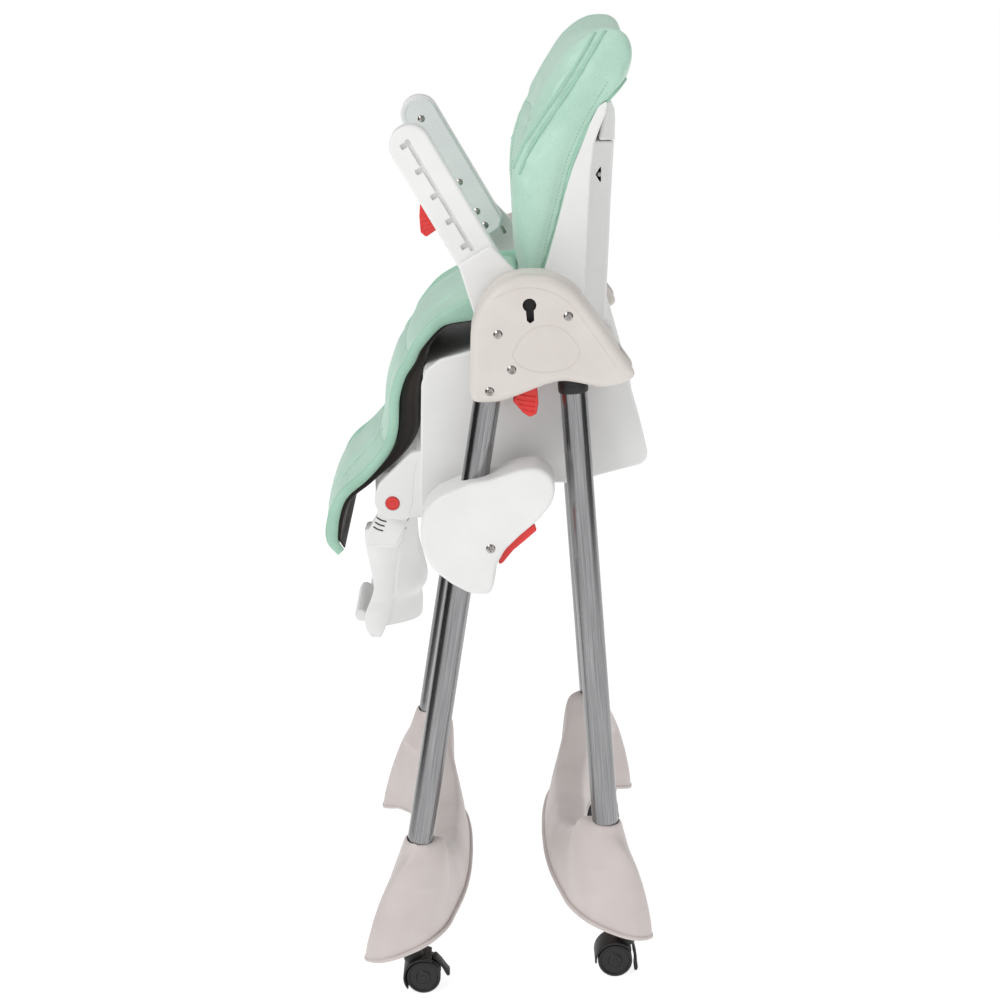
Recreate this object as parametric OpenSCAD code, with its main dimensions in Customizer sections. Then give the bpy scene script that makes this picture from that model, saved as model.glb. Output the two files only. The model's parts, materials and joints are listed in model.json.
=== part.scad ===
/* [Frame] */
// Distance of each leg tube from the middle of the chair
tube_x = 220; // [215:1:225]
// Outer diameter of the leg tubes
tube_d = 30; // [29:0.5:31]
// Wall of the leg tubes
tube_wall = 1.2; // [1:0.1:2]
// Backward slope of the front tubes
front_slope = 8.5; // [8:0.1:9]
// Forward slope of the folded rear tubes
rear_slope = 4.6; // [4:0.1:5]
// How much longer the rear legs are than a plain fold would need
rear_extra = 17; // [12:1:22]

/* [Casters] */
// Wheel diameter
wheel_d = 40; // [39:0.5:41]
// Width of one of the two wheels
wheel_w = 13; // [12:0.5:14]
// Height from the wheel axle up to the foot
axle_drop = 34; // [33:0.5:36]
// Offset of the axle from the swivel axis
trail = 6; // [4:0.5:8]
// Diameter of the swivel stem
stem_d = 11; // [10:0.5:12]

/* [Seat] */
// Half width of the seat shell over its sides
seat_half = 175; // [173:1:176]
// Thickness of the moulded walls
wall = 3; // [2.5:0.5:4]
// Half width of the seat cushion
cushion_half = 140; // [130:1:142]
// Half width of the back cushion
back_half = 150; // [140:1:155]

/* [Hub] */
// Inner face of each hub
hub_in = 190; // [189:0.5:192]
// Outer face of each hub
hub_out = 252; // [250:0.5:254]
// Diameter of the keyhole's round end
keyhole_d = 15; // [14:0.5:16]

/* [Hidden] */
// The chair is drawn in a side-view frame: Y towards the back, Z up. seated() then tips it
// so that all four wheels stand on Z = 0.
$fn = 48;
seam = 224;
running = 0.06;
tube_r = tube_d / 2;
front_top = [-49, 705];
front_mount = [-137.8, 57.2];
front_pitch = 15.4;
rear_pivot = [40, 810];
rear_pitch = -14.6;
rear_down = [sin(rear_slope), -cos(rear_slope)];
rear_mount = [113.4, 95.4] + rear_extra * rear_down;
arm_pivot = [-21, 797];
recline_pivot = [42, 735];
leg_pivot = [-156, 578];
lever_pivot = [-4, 745];
caster_x = 228;
// Tube lengths below and above their own reference points
front_below = 625;
front_above = 95;
rear_below = 655 + rear_extra;
rear_above = 11;
// Screws and pins: radius of the shank and of the head, and height of the head
bolt_r = 5;
screw_r = 2.5;
head_r = 5;
head_h = 1.6;
pin_r = 5;
// X levels: arm bars, arm roots, leg brackets, leg-rest eyes and sliders
arm_x = [150, 179];
arm_root_x = [177, 187];
bracket_x = [152, 166];
eye_x = [139, 151];
slider_x = [196, 256];

function unit(v) = v / norm(v);
function turn(v, a) = [v.x * cos(a) - v.y * sin(a), v.x * sin(a) + v.y * cos(a)];
function area(p) = let (n = len(p))
    sum([for (i = [0 : n - 1]) cross(p[i], p[(i + 1) % n])]) / 2;
function sum(v, i = 0) = i < len(v) ? v[i] + sum(v, i + 1) : 0;
// An outline moved inwards by d
function inset(p, d) = let (n = len(p), s = sign(area(p))) [for (i = [0 : n - 1])
    let (u = unit(p[i] - p[(i + n - 1) % n]), v = unit(p[(i + 1) % n] - p[i]),
         m = unit([-(u.y + v.y), u.x + v.x]), k = max(0.6, m * [-u.y, u.x]))
    p[i] + s * d / k * m];
// Points on an arc
function arc(c, r, a0, a1, n = 8) = [for (i = [0 : n])
    c + r * [cos(a0 + (a1 - a0) * i / n), sin(a0 + (a1 - a0) * i / n)]];

// Wheel axle under a mounting point on a foot that is pitched by a; way is the trail's direction
function axle(p, a, way) = p + turn([way * trail, -axle_drop], a);
front_axle = axle(front_mount, front_pitch, 1);
rear_axle = axle(rear_mount, rear_pitch, -1);
lean = atan2(rear_axle.y - front_axle.y, rear_axle.x - front_axle.x);
ground = turn(front_axle, -lean).y - wheel_d / 2;
middle_y = 14.21;

steel = "silver";
white = "white";
beige = "lightgray";
mint = "aquamarine";
red = "red";
black = "dimgray";

module seated() {
    translate([0, -middle_y, -ground]) rotate([-lean, 0, 0]) children();
}
// A side outline extruded from x0 to x1
module plate(x0, x1, outline) {
    translate([x0, 0, 0]) rotate([90, 0, 90]) linear_extrude(x1 - x0) polygon(outline);
}
// A round bar along X
module bar(x0, x1, at, r) {
    translate([x0, at.x, at.y]) rotate([0, 90, 0]) cylinder(h = x1 - x0, r = r);
}
// Puts a piece drawn on the +X side on the side s
module on(s) {
    if (s > 0) children();
    else mirror([1, 0, 0]) children();
}
// A strip of constant thickness above the line a-b
function strip(a, b, t) = let (n = t * unit([a.y - b.y, b.x - a.x])) [a, b, b + n, a + n];

/* ---- frame ---- */
// Along the front tube; s is measured upwards from front_top
module front_axis(s) {
    translate([tube_x, front_top.x, front_top.y]) rotate([-front_slope, 0, 0])
        translate([0, 0, s]) children();
}
// Along the rear tube; s is measured downwards from the pivot
module rear_axis(s) {
    translate([tube_x, rear_pivot.x, rear_pivot.y]) rotate([rear_slope, 0, 0])
        translate([0, 0, -s]) children();
}
module tube(length, r = tube_r) {
    difference() {
        cylinder(h = length, r = r);
        translate([0, 0, -1]) cylinder(h = length + 2, r = r - tube_wall);
    }
}
module front_tube(side) {
    color(steel) seated() on(side) front_axis(-front_below) tube(front_below + front_above);
}
module rear_tube(side) {
    color(steel) seated() on(side) difference() {
        rear_axis(rear_below) tube(rear_below + rear_above);
        bar(tube_x - 30, tube_x + 30, rear_pivot, bolt_r + running);
    }
}

// Plan, height and lean of a foot along its bow, t from -1 at one toe to 1 at the other
function bow_x(t) = sign(t) * lookup(abs(t),
    [[0, 0], [0.35, 95], [0.6, 165], [0.75, 205], [0.85, 226], [0.93, 235], [1, 231]]);
function bow_v(t) = lookup(abs(t),
    [[0, -54], [0.35, -48], [0.6, -33], [0.75, -16], [0.85, 4], [0.93, 26], [1, 49]]);
function bow_half(t) = lookup(abs(t),
    [[0, 26], [0.6, 27], [0.75, 30], [0.85, 27], [0.93, 23], [0.98, 16], [1, 7]]);
function bow_top(t) = lookup(abs(t),
    [[0, 56], [0.35, 64], [0.6, 92], [0.75, 120], [0.93, 118], [0.965, 98], [0.985, 72], [1, 10]]);
function bow_lean(t) = lookup(abs(t), [[0, 0.2], [0.6, 0.6], [0.78, 1], [1, 1]]);
function bow_side(t) = let (e = 0.02)
    unit([bow_v(t + e) - bow_v(t - e), bow_x(t - e) - bow_x(t + e)]);
function foot_ring(t, skin, floor, tip) = let (h = bow_half(t) - skin, w = bow_top(t) - skin,
        n = bow_side(t), back = tan(tip) * bow_lean(t))
    [for (q = [[-1, floor], [-0.98, 8], [-0.86, w * 0.5], [-0.68, w * 0.86], [-0.5, w],
               [0.5, w], [0.68, w * 0.86], [0.86, w * 0.5], [0.98, 8], [1, floor]])
        [bow_x(t) + q.x * h * n.x, bow_v(t) + q.x * h * n.y - back * q.y, q.y]];
module foot_loft(t1, skin, floor, steps, tip) {
    rings = [for (i = [0 : steps]) foot_ring(-t1 + 2 * t1 * i / steps, skin, floor, tip)];
    m = len(rings[0]);
    polyhedron([for (r = rings) each r], [[for (j = [0 : m - 1]) j],
        for (i = [0 : steps - 1], j = [0 : m - 1]) let (a = i * m + j, b = i * m + (j + 1) % m)
            each [[a, a + m, b], [b, a + m, b + m]],
        [for (j = [m - 1 : -1 : 0]) steps * m + j]], convexity = 6);
}
// A foot in its own plane: X across, +Y towards the toes, Z up
module foot_bow(caster_v, tube_tip) {
    difference() {
        foot_loft(1, 0, 0, 40, tube_tip);
        foot_loft(0.72, wall, -5, 26, tube_tip);
        for (s = [-1, 1]) {
            translate([s * caster_x, caster_v, -1]) cylinder(h = 27, r = 9.2, $fn = 12);
            translate([s * tube_x, 0, 0]) rotate([tube_tip, 0, 0])
                translate([0, 0, 36]) cylinder(h = 120, r = tube_r + 0.3, $fn = 12);
        }
    }
}
front_toe = [-147.2, 54.6];
rear_toe = [97.6, 99.5] + rear_extra * rear_down;
front_caster_v = -norm(front_mount - front_toe);
rear_caster_v = norm([113.4, 95.4] - [97.6, 99.5]);
module at_front_foot() {
    translate([0, front_toe.x, front_toe.y]) rotate([front_pitch, 0, 0]) mirror([0, 1, 0]) children();
}
module at_rear_foot() {
    translate([0, rear_toe.x, rear_toe.y]) rotate([rear_pitch, 0, 0]) children();
}
module front_foot() {
    color(beige) seated() at_front_foot() foot_bow(front_caster_v, front_slope + front_pitch);
}
module rear_foot() {
    color(beige) seated() at_rear_foot() foot_bow(rear_caster_v, rear_slope - rear_pitch);
}
module sockets(caster_v) {
    for (s = [-1, 1]) translate([s * caster_x, caster_v, 0]) difference() {
        cylinder(h = 25, r = 9);
        translate([0, 0, -1]) cylinder(h = 25, r = stem_d / 2 + running);
    }
}
module front_caster_sockets() {
    color(steel) seated() at_front_foot() sockets(front_caster_v);
}
module rear_caster_sockets() {
    color(steel) seated() at_rear_foot() sockets(rear_caster_v);
}
module rear_tube_rings() {
    color(black) seated() for (s = [-1, 1]) on(s) rear_axis(92) difference() {
        cylinder(h = 9, r = tube_r + 1.5);
        translate([0, 0, -1]) cylinder(h = 11, r = tube_r);
    }
}

/* ---- hub ---- */
hub_outline = [[-67, 723], [-65, 795], [-55, 822], [-37, 844], [-12, 853], [18, 853], [47, 838],
    [74, 803], [116, 744], [99, 734], [75, 730], [53, 735], [34, 738], [15, 733], [-12, 722],
    [-34, 714], [-53, 713], [-63, 715]];
hub_mouth = [[22, 770], [22, 700], [125, 700], [108, 750], [72, 795], [30, 795]];
lever_mouth = [[-30, 760], [-30, 690], [14, 690], [14, 760]];
module hub_cuts() {
    plate(203, 238, hub_mouth);
    plate(211, 242, lever_mouth);
    front_axis(-30) cylinder(h = 130, r = tube_r + 0.1);
}
module hub_outer(side) {
    color(beige) seated() on(side) difference() {
        plate(seam, hub_out, hub_outline);
        plate(seam - 1, hub_out - wall, inset(hub_outline, wall));
        hub_cuts();
        bar(hub_out - 9, hub_out + 1, [-2, 822], keyhole_d / 2);
        plate(hub_out - 9, hub_out + 1, [[-5, 822], [-3.5, 803], [2.5, 803], [1, 822]]);
        for (p = hub_screw_places) bar(hub_out - 9, hub_out + 1, p, screw_r);
        bar(hub_out - 9, hub_out + 1, rear_pivot, bolt_r);
    }
}
module hub_inner(side) {
    color(beige) seated() on(side) difference() {
        plate(hub_in, seam, hub_outline);
        plate(hub_in + wall, seam + 1, inset(hub_outline, wall));
        hub_cuts();
        bar(hub_in - 1, hub_in + 9, rear_pivot, bolt_r);
    }
}
hub_screw_places = [[-36, 790], [-45, 727], [-21, 751]];
module hub_screws() {
    color(steel) seated() for (s = [-1, 1], p = hub_screw_places) on(s) {
        bar(hub_out - 12, hub_out, p, screw_r);
        bar(hub_out, hub_out + head_h, p, head_r);
    }
}
module rear_pivot_bolts() {
    color(steel) seated() for (s = [-1, 1]) on(s) {
        bar(hub_in + 0.5, hub_out, rear_pivot, bolt_r);
        bar(hub_out, hub_out + head_h, rear_pivot, bolt_r + 2);
    }
}
module fold_lever(side) {
    color(red) seated() on(side) plate(214, 239, concat(arc(lever_pivot, 8, 150, 30, 6),
        [[8, 727], [8, 709], [6, 697], [-1, 695], [-8, 700], [-20, 713], [-13, 727]]));
}

/* ---- seat ---- */
seat_side = concat([[-125, 567], [-124, 607], [-122, 717], [-117, 734], [-101, 746], [-42, 762]],
    arc(arm_pivot, 18, 190, 60, 8), arc([40, 733], 72, 96, 8, 8),
    [[124, 677], [136, 628], [79, 613], [51, 604]]);
leg_bracket = concat([[-121, 640], [-135, 636]], arc(leg_pivot, 20, 135, 300, 10), [[-121, 561]]);
module seat_shell() {
    color(white) seated() difference() {
        union() {
            for (s = [-1, 1]) on(s) {
                plate(165, seat_half, seat_side);
                plate(170, 203, [[-92, 548], [-8, 566], [-8, 606], [-92, 588]]);
                bar(170, 188, arm_pivot, 8);
                bar(151, 168, recline_pivot, 6);
                plate(bracket_x[0], bracket_x[1], leg_bracket);
            }
            plate(-166, 166, strip([-120, 567], [-117, 730], wall));
            plate(-166, 166, strip([-119, 729], [-8, 759], wall));
            plate(-166, 166, strip([132.5, 631], [119, 690], wall));
        }
        for (s = [-1, 1]) on(s) {
            front_axis(-200) cylinder(h = 200, r = tube_r + 1);
            bar(159, 168, leg_pivot, 8.1);
            bar(150, 160, leg_pivot, pin_r);
        }
    }
}
slider_outline = concat([[-122, 571], [-118, 594], [-100, 610], [-67, 624], [-45, 628], [-12, 640]],
    [[8, 642], [23, 633], [28, 617], [23, 600], [10, 583], [-12, 564], [-28, 548], [-37, 531],
     [-41, 502], [-45, 496], [-67, 497], [-87, 508], [-109, 525], [-120, 548]]);
trigger_mouth = [[14, 578], [-2, 592], [-26, 572], [-46, 548], [-40, 520], [-30, 530]];
slider_screw = [-44, 550];
module slider(side) {
    color(white) seated() on(side) difference() {
        union() {
            difference() {
                plate(slider_x[0], slider_x[1], slider_outline);
                plate(slider_x[0] - 1, slider_x[1] - wall, inset(slider_outline, wall));
            }
            intersection() {
                front_axis(-240) cylinder(h = 180, r = tube_r + 3);
                plate(slider_x[0], slider_x[1], slider_outline);
            }
        }
        front_axis(-260) cylinder(h = 220, r = tube_r + running);
        plate(238.5, 250, trigger_mouth);
        bar(247, 257, slider_screw, screw_r);
    }
}
module slider_screws() {
    color(steel) seated() for (s = [-1, 1]) on(s) {
        bar(246, slider_x[1], slider_screw, screw_r);
        bar(slider_x[1], slider_x[1] + 1.4, slider_screw, head_r);
    }
}
module height_trigger(side) {
    color(red) seated() on(side) plate(239, 249.5, [[4, 577], [7, 569], [-4, 559], [-19, 546],
        [-30, 532], [-34, 530], [-36, 542], [-22, 556], [-8, 569]]);
}
module seat_cushion() {
    color(mint) seated() plate(-cushion_half, cushion_half, [[-14, 822], [-67, 811], [-112, 786],
        [-135, 758], [-152, 723], [-161, 695], [-162, 660], [-170, 636], [-184, 617], [-178, 610],
        [-158, 634], [-148, 658], [-134, 700], [-132, 728], [-122, 742], [-100, 757], [-14, 780]]);
}

/* ---- armrests ---- */
arm_tip = [-132, 984];
arm_half = 23;
arm_way = unit(arm_tip - arm_pivot);
arm_out = turn(arm_way, -90);
arm_angle = atan2(arm_way.y, arm_way.x);
// A place on the arm, measured along it from its pivot and across it towards the back
function arm_at(along, across) = arm_pivot + along * arm_way + across * arm_out;
arm_outline = concat(arc(arm_tip, arm_half, arm_angle + 90, arm_angle - 90, 10),
    [arm_at(52, arm_half), arm_at(46, 8), arm_at(46, -8), arm_at(52, -arm_half)]);
arm_root = concat([arm_at(72, -arm_half), arm_at(72, arm_half)],
    arc(arm_pivot, 40, arm_angle - 60, arm_angle - 300, 16));
arm_screw_places = [for (a = [212, 122, 80, 60]) arm_at(a, 0)];
notch_pitch = 34;
module armrest(side) {
    color(white) seated() on(side) difference() {
        union() {
            plate(arm_x[0], arm_x[1], arm_outline);
            plate(arm_root_x[0], arm_root_x[1], arm_root);
        }
        bar(176, 188, arm_pivot, 8 + running);
        plate(174, 188, [arm_at(76, -4), arm_at(76, 10), arm_at(228, 10), arm_at(228, -4)]);
        for (k = [0 : 4]) plate(174, 188, [arm_at(80 + k * notch_pitch, -14),
            arm_at(80 + k * notch_pitch, -3), arm_at(90 + k * notch_pitch, -3),
            arm_at(90 + k * notch_pitch, -14)]);
        plate(155, 173, [arm_at(162, -24), arm_at(162, -8), arm_at(118, -8), arm_at(118, -24)]);
    }
}
module arm_cover(side) {
    color(beige) seated() on(side) difference() {
        plate(arm_x[0] - 4, arm_x[0], inset(arm_outline, 2));
        for (p = arm_screw_places) bar(145, 151, p, 1.6);
    }
}
module arm_screws(side) {
    color(steel) seated() on(side) for (p = arm_screw_places) {
        bar(146, 149.8, p, 1.6);
        bar(144.6, 146, p, 4);
    }
}
module arm_trigger(side) {
    color(red) seated() on(side) plate(156, 172, [arm_at(158, -18), arm_at(157, -24),
        arm_at(144, -32), arm_at(128, -39.5), arm_at(122, -36), arm_at(124, -16), arm_at(140, -13)]);
}

/* ---- back ---- */
back_face = [[14, 838], [28, 890], [44, 955], [60, 995], [74, 1024], [85, 1032]];
back_rear = [[84, 1020], [70, 985], [64, 900], [60, 800], [58, 770]];
module back_shell() {
    color(white) seated() difference() {
        union() {
            difference() {
                plate(-back_half, back_half, concat(back_face, back_rear, [[18, 770]]));
                plate(wall - back_half, back_half - wall, concat([[20, 838], [33, 890], [48, 953],
                    [63, 990], [72, 1006], [66, 984], [61, 900], [57, 800], [54, 760], [22, 760]]));
            }
            for (s = [-1, 1]) on(s) plate(back_half - 8, back_half, concat([[20, 780]],
                arc(recline_pivot, 18, 180, 360, 8), [[60, 780]]));
        }
        for (s = [-1, 1]) on(s) bar(back_half - 9, back_half + 1, recline_pivot, 6 + running);
    }
}
module recline_column() {
    color(white) seated() difference() {
        plate(-60, 60, [[58.5, 770], [60.5, 800], [64.5, 900], [70.5, 985], [72, 976], [97, 976],
            [93, 900], [90, 808], [89, 712], [64, 712]]);
        plate(-50, 50, [[68, 700], [68, 800], [70, 900], [75, 990], [92, 990], [89, 900], [86, 700]]);
        plate(-61, 61, [[76, 940], [80, 962], [82, 940], [80, 915]]);
    }
}
module recline_handle() {
    color(white) seated() difference() {
        plate(-62, 62, [[79, 976.5], [97, 976.5], [97, 1012], [93, 1020], [89, 1022], [85, 1012]]);
        plate(-40, 40, [[86, 970], [91, 970], [91, 1000], [86, 1000]]);
    }
}
module back_cushion() {
    color(mint) seated() plate(-back_half, back_half, [[-4, 785], [-12, 840], [-19, 879],
        [-22, 924], [-20, 957], [-10, 989], [22, 1050], [52, 1105], [82, 1113], [110, 1105],
        [118, 1085], [114, 1060], [96, 1030], [88, 1030], [86, 1034], [72, 1025], [58, 996],
        [42, 956], [26, 891], [11, 838], [10, 785]]);
}

/* ---- leg rest ---- */
module leg_rest() {
    color(white) seated() difference() {
        union() {
            for (s = [-1, 1]) on(s) {
                hull() {
                    plate(eye_x[0], eye_x[1], arc(leg_pivot, 20, 0, 360, 18));
                    plate(118, 128, [[-190, 535], [-188, 515], [-140, 515], [-138, 535]]);
                }
                hull() {
                    plate(118, 128, [[-190, 535], [-188, 515], [-140, 515], [-138, 535]]);
                    plate(78, 88, [[-182, 460], [-184, 442], [-156, 442], [-156, 460]]);
                }
                hull() {
                    plate(78, 88, [[-182, 460], [-184, 442], [-156, 442], [-156, 460]]);
                    plate(60, 70, [[-195, 414], [-194, 396], [-187, 383], [-171, 385], [-165, 410]]);
                }
            }
            plate(-122, 122, strip([-142, 515], [-139, 542], wall));
            plate(-82, 82, strip([-152, 442], [-139, 518], wall));
            plate(-64, 64, strip([-166, 398], [-151, 445], wall));
        }
        for (s = [-1, 1]) on(s) bar(130, 152, leg_pivot, pin_r + running);
    }
}
module foot_plate() {
    color(white) seated() plate(-58, 58, [[-205, 404], [-207, 410], [-200, 416], [-169, 404],
        [-170, 398]]);
}
module leg_rest_pins() {
    color(steel) seated() for (s = [-1, 1]) on(s) bar(137, 159, leg_pivot, pin_r);
}
module leg_rest_button(side) {
    color(red) seated() on(side) bar(162.5, 168.5, leg_pivot, 8);
}
module calf_pad() {
    color(mint) seated() plate(-cushion_half, cushion_half, [[-216, 588], [-228, 571], [-237, 542],
        [-235, 524], [-221, 506], [-214, 512], [-220, 540], [-220, 555], [-210, 580]]);
}

/* ---- casters ---- */
// A caster frame: origin on the swivel axis at the foot, Z up the stem
module at_caster(front, side) {
    at = front ? front_mount : rear_mount;
    translate([side * caster_x, at.x, at.y]) rotate([front ? front_pitch : rear_pitch, 0, 0])
        children();
}
module hood(front, side) {
    way = front ? 1 : -1;
    c = [way * trail, -axle_drop];
    color(black) seated() at_caster(front, side) {
        translate([0, 0, -12]) cylinder(h = 35, r = stem_d / 2);
        translate([0, 0, -11]) cylinder(h = 10, r = 11);
        plate(-19, 19, concat(arc(c, wheel_d / 2 + 3.5, 200, 52, 20),
            arc(c, wheel_d / 2 + 1, 52, 200, 20)));
        plate(-3.5, 3.5, concat(arc(c, wheel_d / 2 + 2, 195, 52, 16), [c + [9, -5], c + [-9, -5]]));
        bar(-17, 17, c, 3);
    }
}
module wheels(front, side) {
    way = front ? 1 : -1;
    c = [way * trail, -axle_drop];
    color(black) seated() at_caster(front, side) for (s = [-1, 1]) on(s) difference() {
        bar(4.5, 4.5 + wheel_w, c, wheel_d / 2);
        bar(4, 5 + wheel_w, c, 3 + running);
    }
}
module brake(front, side) {
    way = front ? 1 : -1;
    c = [way * trail, -axle_drop];
    color(black) seated() at_caster(front, side)
        plate(-8, 8, [c + [16, 17.5], c + [20, 17], c + [26, 3], c + [29.5, -6], c + [26, -10],
            c + [24, -2], c + [21.5, 8], c + [17.5, 14]]);
}

front_tube(1);  // front_tube_left
front_tube(-1);  // front_tube_right
front_foot();
front_caster_sockets();
hub_outer(1);  // hub_outer_left
hub_outer(-1);  // hub_outer_right
hub_inner(1);  // hub_inner_left
hub_inner(-1);  // hub_inner_right
hub_screws();
rear_pivot_bolts();
fold_lever(1);  // fold_lever_left
fold_lever(-1);  // fold_lever_right
rear_tube(1);  // rear_tube_left
rear_tube(-1);  // rear_tube_right
rear_foot();
rear_caster_sockets();
rear_tube_rings();
seat_shell();
slider(1);  // slider_left
slider(-1);  // slider_right
slider_screws();
height_trigger(1);  // height_trigger_left
height_trigger(-1);  // height_trigger_right
seat_cushion();
armrest(1);  // armrest_left
armrest(-1);  // armrest_right
arm_cover(1);  // arm_cover_left
arm_cover(-1);  // arm_cover_right
arm_screws(1);  // arm_screws_left
arm_screws(-1);  // arm_screws_right
arm_trigger(1);  // arm_trigger_left
arm_trigger(-1);  // arm_trigger_right
back_shell();
recline_column();
recline_handle();
back_cushion();
leg_rest();
foot_plate();
leg_rest_pins();
calf_pad();
leg_rest_button(1);  // leg_rest_button_left
leg_rest_button(-1);  // leg_rest_button_right
hood(true, 1);  // front_left_hood
wheels(true, 1);  // front_left_wheels
brake(true, 1);  // front_left_brake
hood(true, -1);  // front_right_hood
wheels(true, -1);  // front_right_wheels
brake(true, -1);  // front_right_brake
hood(false, 1);  // rear_left_hood
wheels(false, 1);  // rear_left_wheels
brake(false, 1);  // rear_left_brake
hood(false, -1);  // rear_right_hood
wheels(false, -1);  // rear_right_wheels
brake(false, -1);  // rear_right_brake
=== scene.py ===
"""A folded baby high chair on casters: its looks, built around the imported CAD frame."""
from __future__ import annotations

import json
import logging
import math
import time
from dataclasses import dataclass, field
from enum import Enum
from typing import Any, Callable, Sequence

import bmesh
import bpy
import numpy as np
from mathutils import Matrix, Vector
from mathutils.bvhtree import BVHTree
from mathutils.kdtree import KDTree


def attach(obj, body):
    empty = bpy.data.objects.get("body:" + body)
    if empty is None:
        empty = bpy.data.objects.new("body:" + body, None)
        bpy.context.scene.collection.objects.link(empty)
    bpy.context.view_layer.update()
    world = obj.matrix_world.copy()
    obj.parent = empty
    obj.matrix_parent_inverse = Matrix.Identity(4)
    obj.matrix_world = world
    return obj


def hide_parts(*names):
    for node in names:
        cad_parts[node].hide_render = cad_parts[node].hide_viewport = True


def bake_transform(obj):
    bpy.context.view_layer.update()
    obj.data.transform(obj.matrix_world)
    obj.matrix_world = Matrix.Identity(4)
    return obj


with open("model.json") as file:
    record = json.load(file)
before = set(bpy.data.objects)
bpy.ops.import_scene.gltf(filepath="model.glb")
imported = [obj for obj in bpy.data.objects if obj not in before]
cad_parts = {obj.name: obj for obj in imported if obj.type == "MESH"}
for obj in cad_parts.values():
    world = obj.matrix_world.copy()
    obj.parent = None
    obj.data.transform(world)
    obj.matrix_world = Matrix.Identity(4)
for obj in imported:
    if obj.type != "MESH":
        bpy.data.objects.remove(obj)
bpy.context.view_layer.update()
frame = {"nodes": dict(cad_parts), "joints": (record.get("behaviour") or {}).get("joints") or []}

LOG = logging.getLogger("high_chair")
MM = 0.001
Point = tuple[float, float]
Outline = list[Point]
Faces = list[tuple[int, ...]]


class Side(Enum):
    """A side of the chair, as the sitter sees it; the value is the sign of its X."""

    LEFT = 1
    RIGHT = -1

    @property
    def word(self) -> str:
        """The side's name as the CAD nodes spell it."""
        return self.name.lower()


class End(Enum):
    """An end of the chair; the value is the way its casters trail, + towards the back."""

    FRONT = 1
    REAR = -1

    @property
    def word(self) -> str:
        """The end's name as the CAD nodes spell it."""
        return self.name.lower()


# ---------------------------------------------------------------- finishes


def linear(hex_colour: str) -> tuple[float, float, float, float]:
    """Turns an sRGB hex colour into linear RGBA.

    Args:
        hex_colour: Six hex digits, without a hash.

    Returns:
        Linear red, green, blue and an alpha of 1.
    """
    parts = [int(hex_colour[i : i + 2], 16) / 255 for i in (0, 2, 4)]
    red, green, blue = (c / 12.92 if c <= 0.04045 else ((c + 0.055) / 1.055) ** 2.4 for c in parts)
    return red, green, blue, 1.0


def add_node(tree: bpy.types.NodeTree, kind: str, values: dict[str, Any] | None = None,
             links: dict[str | int, Any] | None = None, **settings: Any) -> bpy.types.Node:
    """Adds one node with its settings, socket values and incoming links.

    Args:
        tree: The tree that gets the node.
        kind: The node's type name.
        values: Input socket name or index to a fixed value.
        links: Input socket name or index to the output socket that feeds it.
        **settings: Properties of the node itself.

    Returns:
        The new node.
    """
    node = tree.nodes.new(kind)
    for key, value in settings.items():
        setattr(node, key, value)
    for key, value in (values or {}).items():
        node.inputs[key].default_value = value
    for key, socket in (links or {}).items():
        tree.links.new(socket, node.inputs[key])
    return node


@dataclass(frozen=True)
class Finish:
    """A surface: its record slot, its colours and how it was made."""

    name: str
    slot: str
    colour: str
    shade: str
    roughness: float
    grain_mm: float
    bump_mm: float
    mottle_mm: float = 60.0

    def start(self) -> tuple[bpy.types.Material, bpy.types.NodeTree, bpy.types.Node, Any]:
        """Makes an empty material.

        Returns:
            The material, its tree, its Principled node and the Object coordinate socket.
        """
        material = bpy.data.materials.new(self.name)
        material.use_nodes = True
        tree = material.node_tree
        shader = tree.nodes["Principled BSDF"]
        place = add_node(tree, "ShaderNodeTexCoord").outputs["Object"]
        return material, tree, shader, place

    def mottled(self, tree: bpy.types.NodeTree, place: Any, low: float = 0.35,
                high: float = 0.65) -> bpy.types.Node:
        """Adds a slow change from the shade to the colour.

        Args:
            tree: The material's tree.
            place: The coordinate socket.
            low: Noise level at which the shade starts to give way.
            high: Noise level at which the colour is full.

        Returns:
            The ramp node that gives the colour.
        """
        cloud = add_node(tree, "ShaderNodeTexNoise", {"Scale": 1000 / self.mottle_mm, "Detail": 3.0},
                         {"Vector": place})
        return self.toned(tree, cloud.outputs["Fac"], low, high)

    def toned(self, tree: bpy.types.NodeTree, level: Any, low: float, high: float) -> bpy.types.Node:
        """Adds a ramp from the shade, where the level is low, to the colour.

        Args:
            tree: The material's tree.
            level: The socket that drives it.
            low: Level of the full shade.
            high: Level of the full colour.

        Returns:
            The ramp node.
        """
        ramp = add_node(tree, "ShaderNodeValToRGB", links={"Fac": level})
        for stop, place, tone in zip(ramp.color_ramp.elements, (low, high), (self.shade, self.colour)):
            stop.position, stop.color = place, linear(tone)
        return ramp

    def grained(self, tree: bpy.types.NodeTree, shader: bpy.types.Node, height: Any) -> None:
        """Feeds a height into the shader as a bump of the finish's own depth."""
        bump = add_node(tree, "ShaderNodeBump", {"Strength": 1.0, "Distance": self.bump_mm * MM},
                        {"Height": height})
        tree.links.new(bump.outputs["Normal"], shader.inputs["Normal"])

    def material(self) -> bpy.types.Material:
        """Builds the material; each kind of finish has its own."""
        raise NotImplementedError


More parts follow.
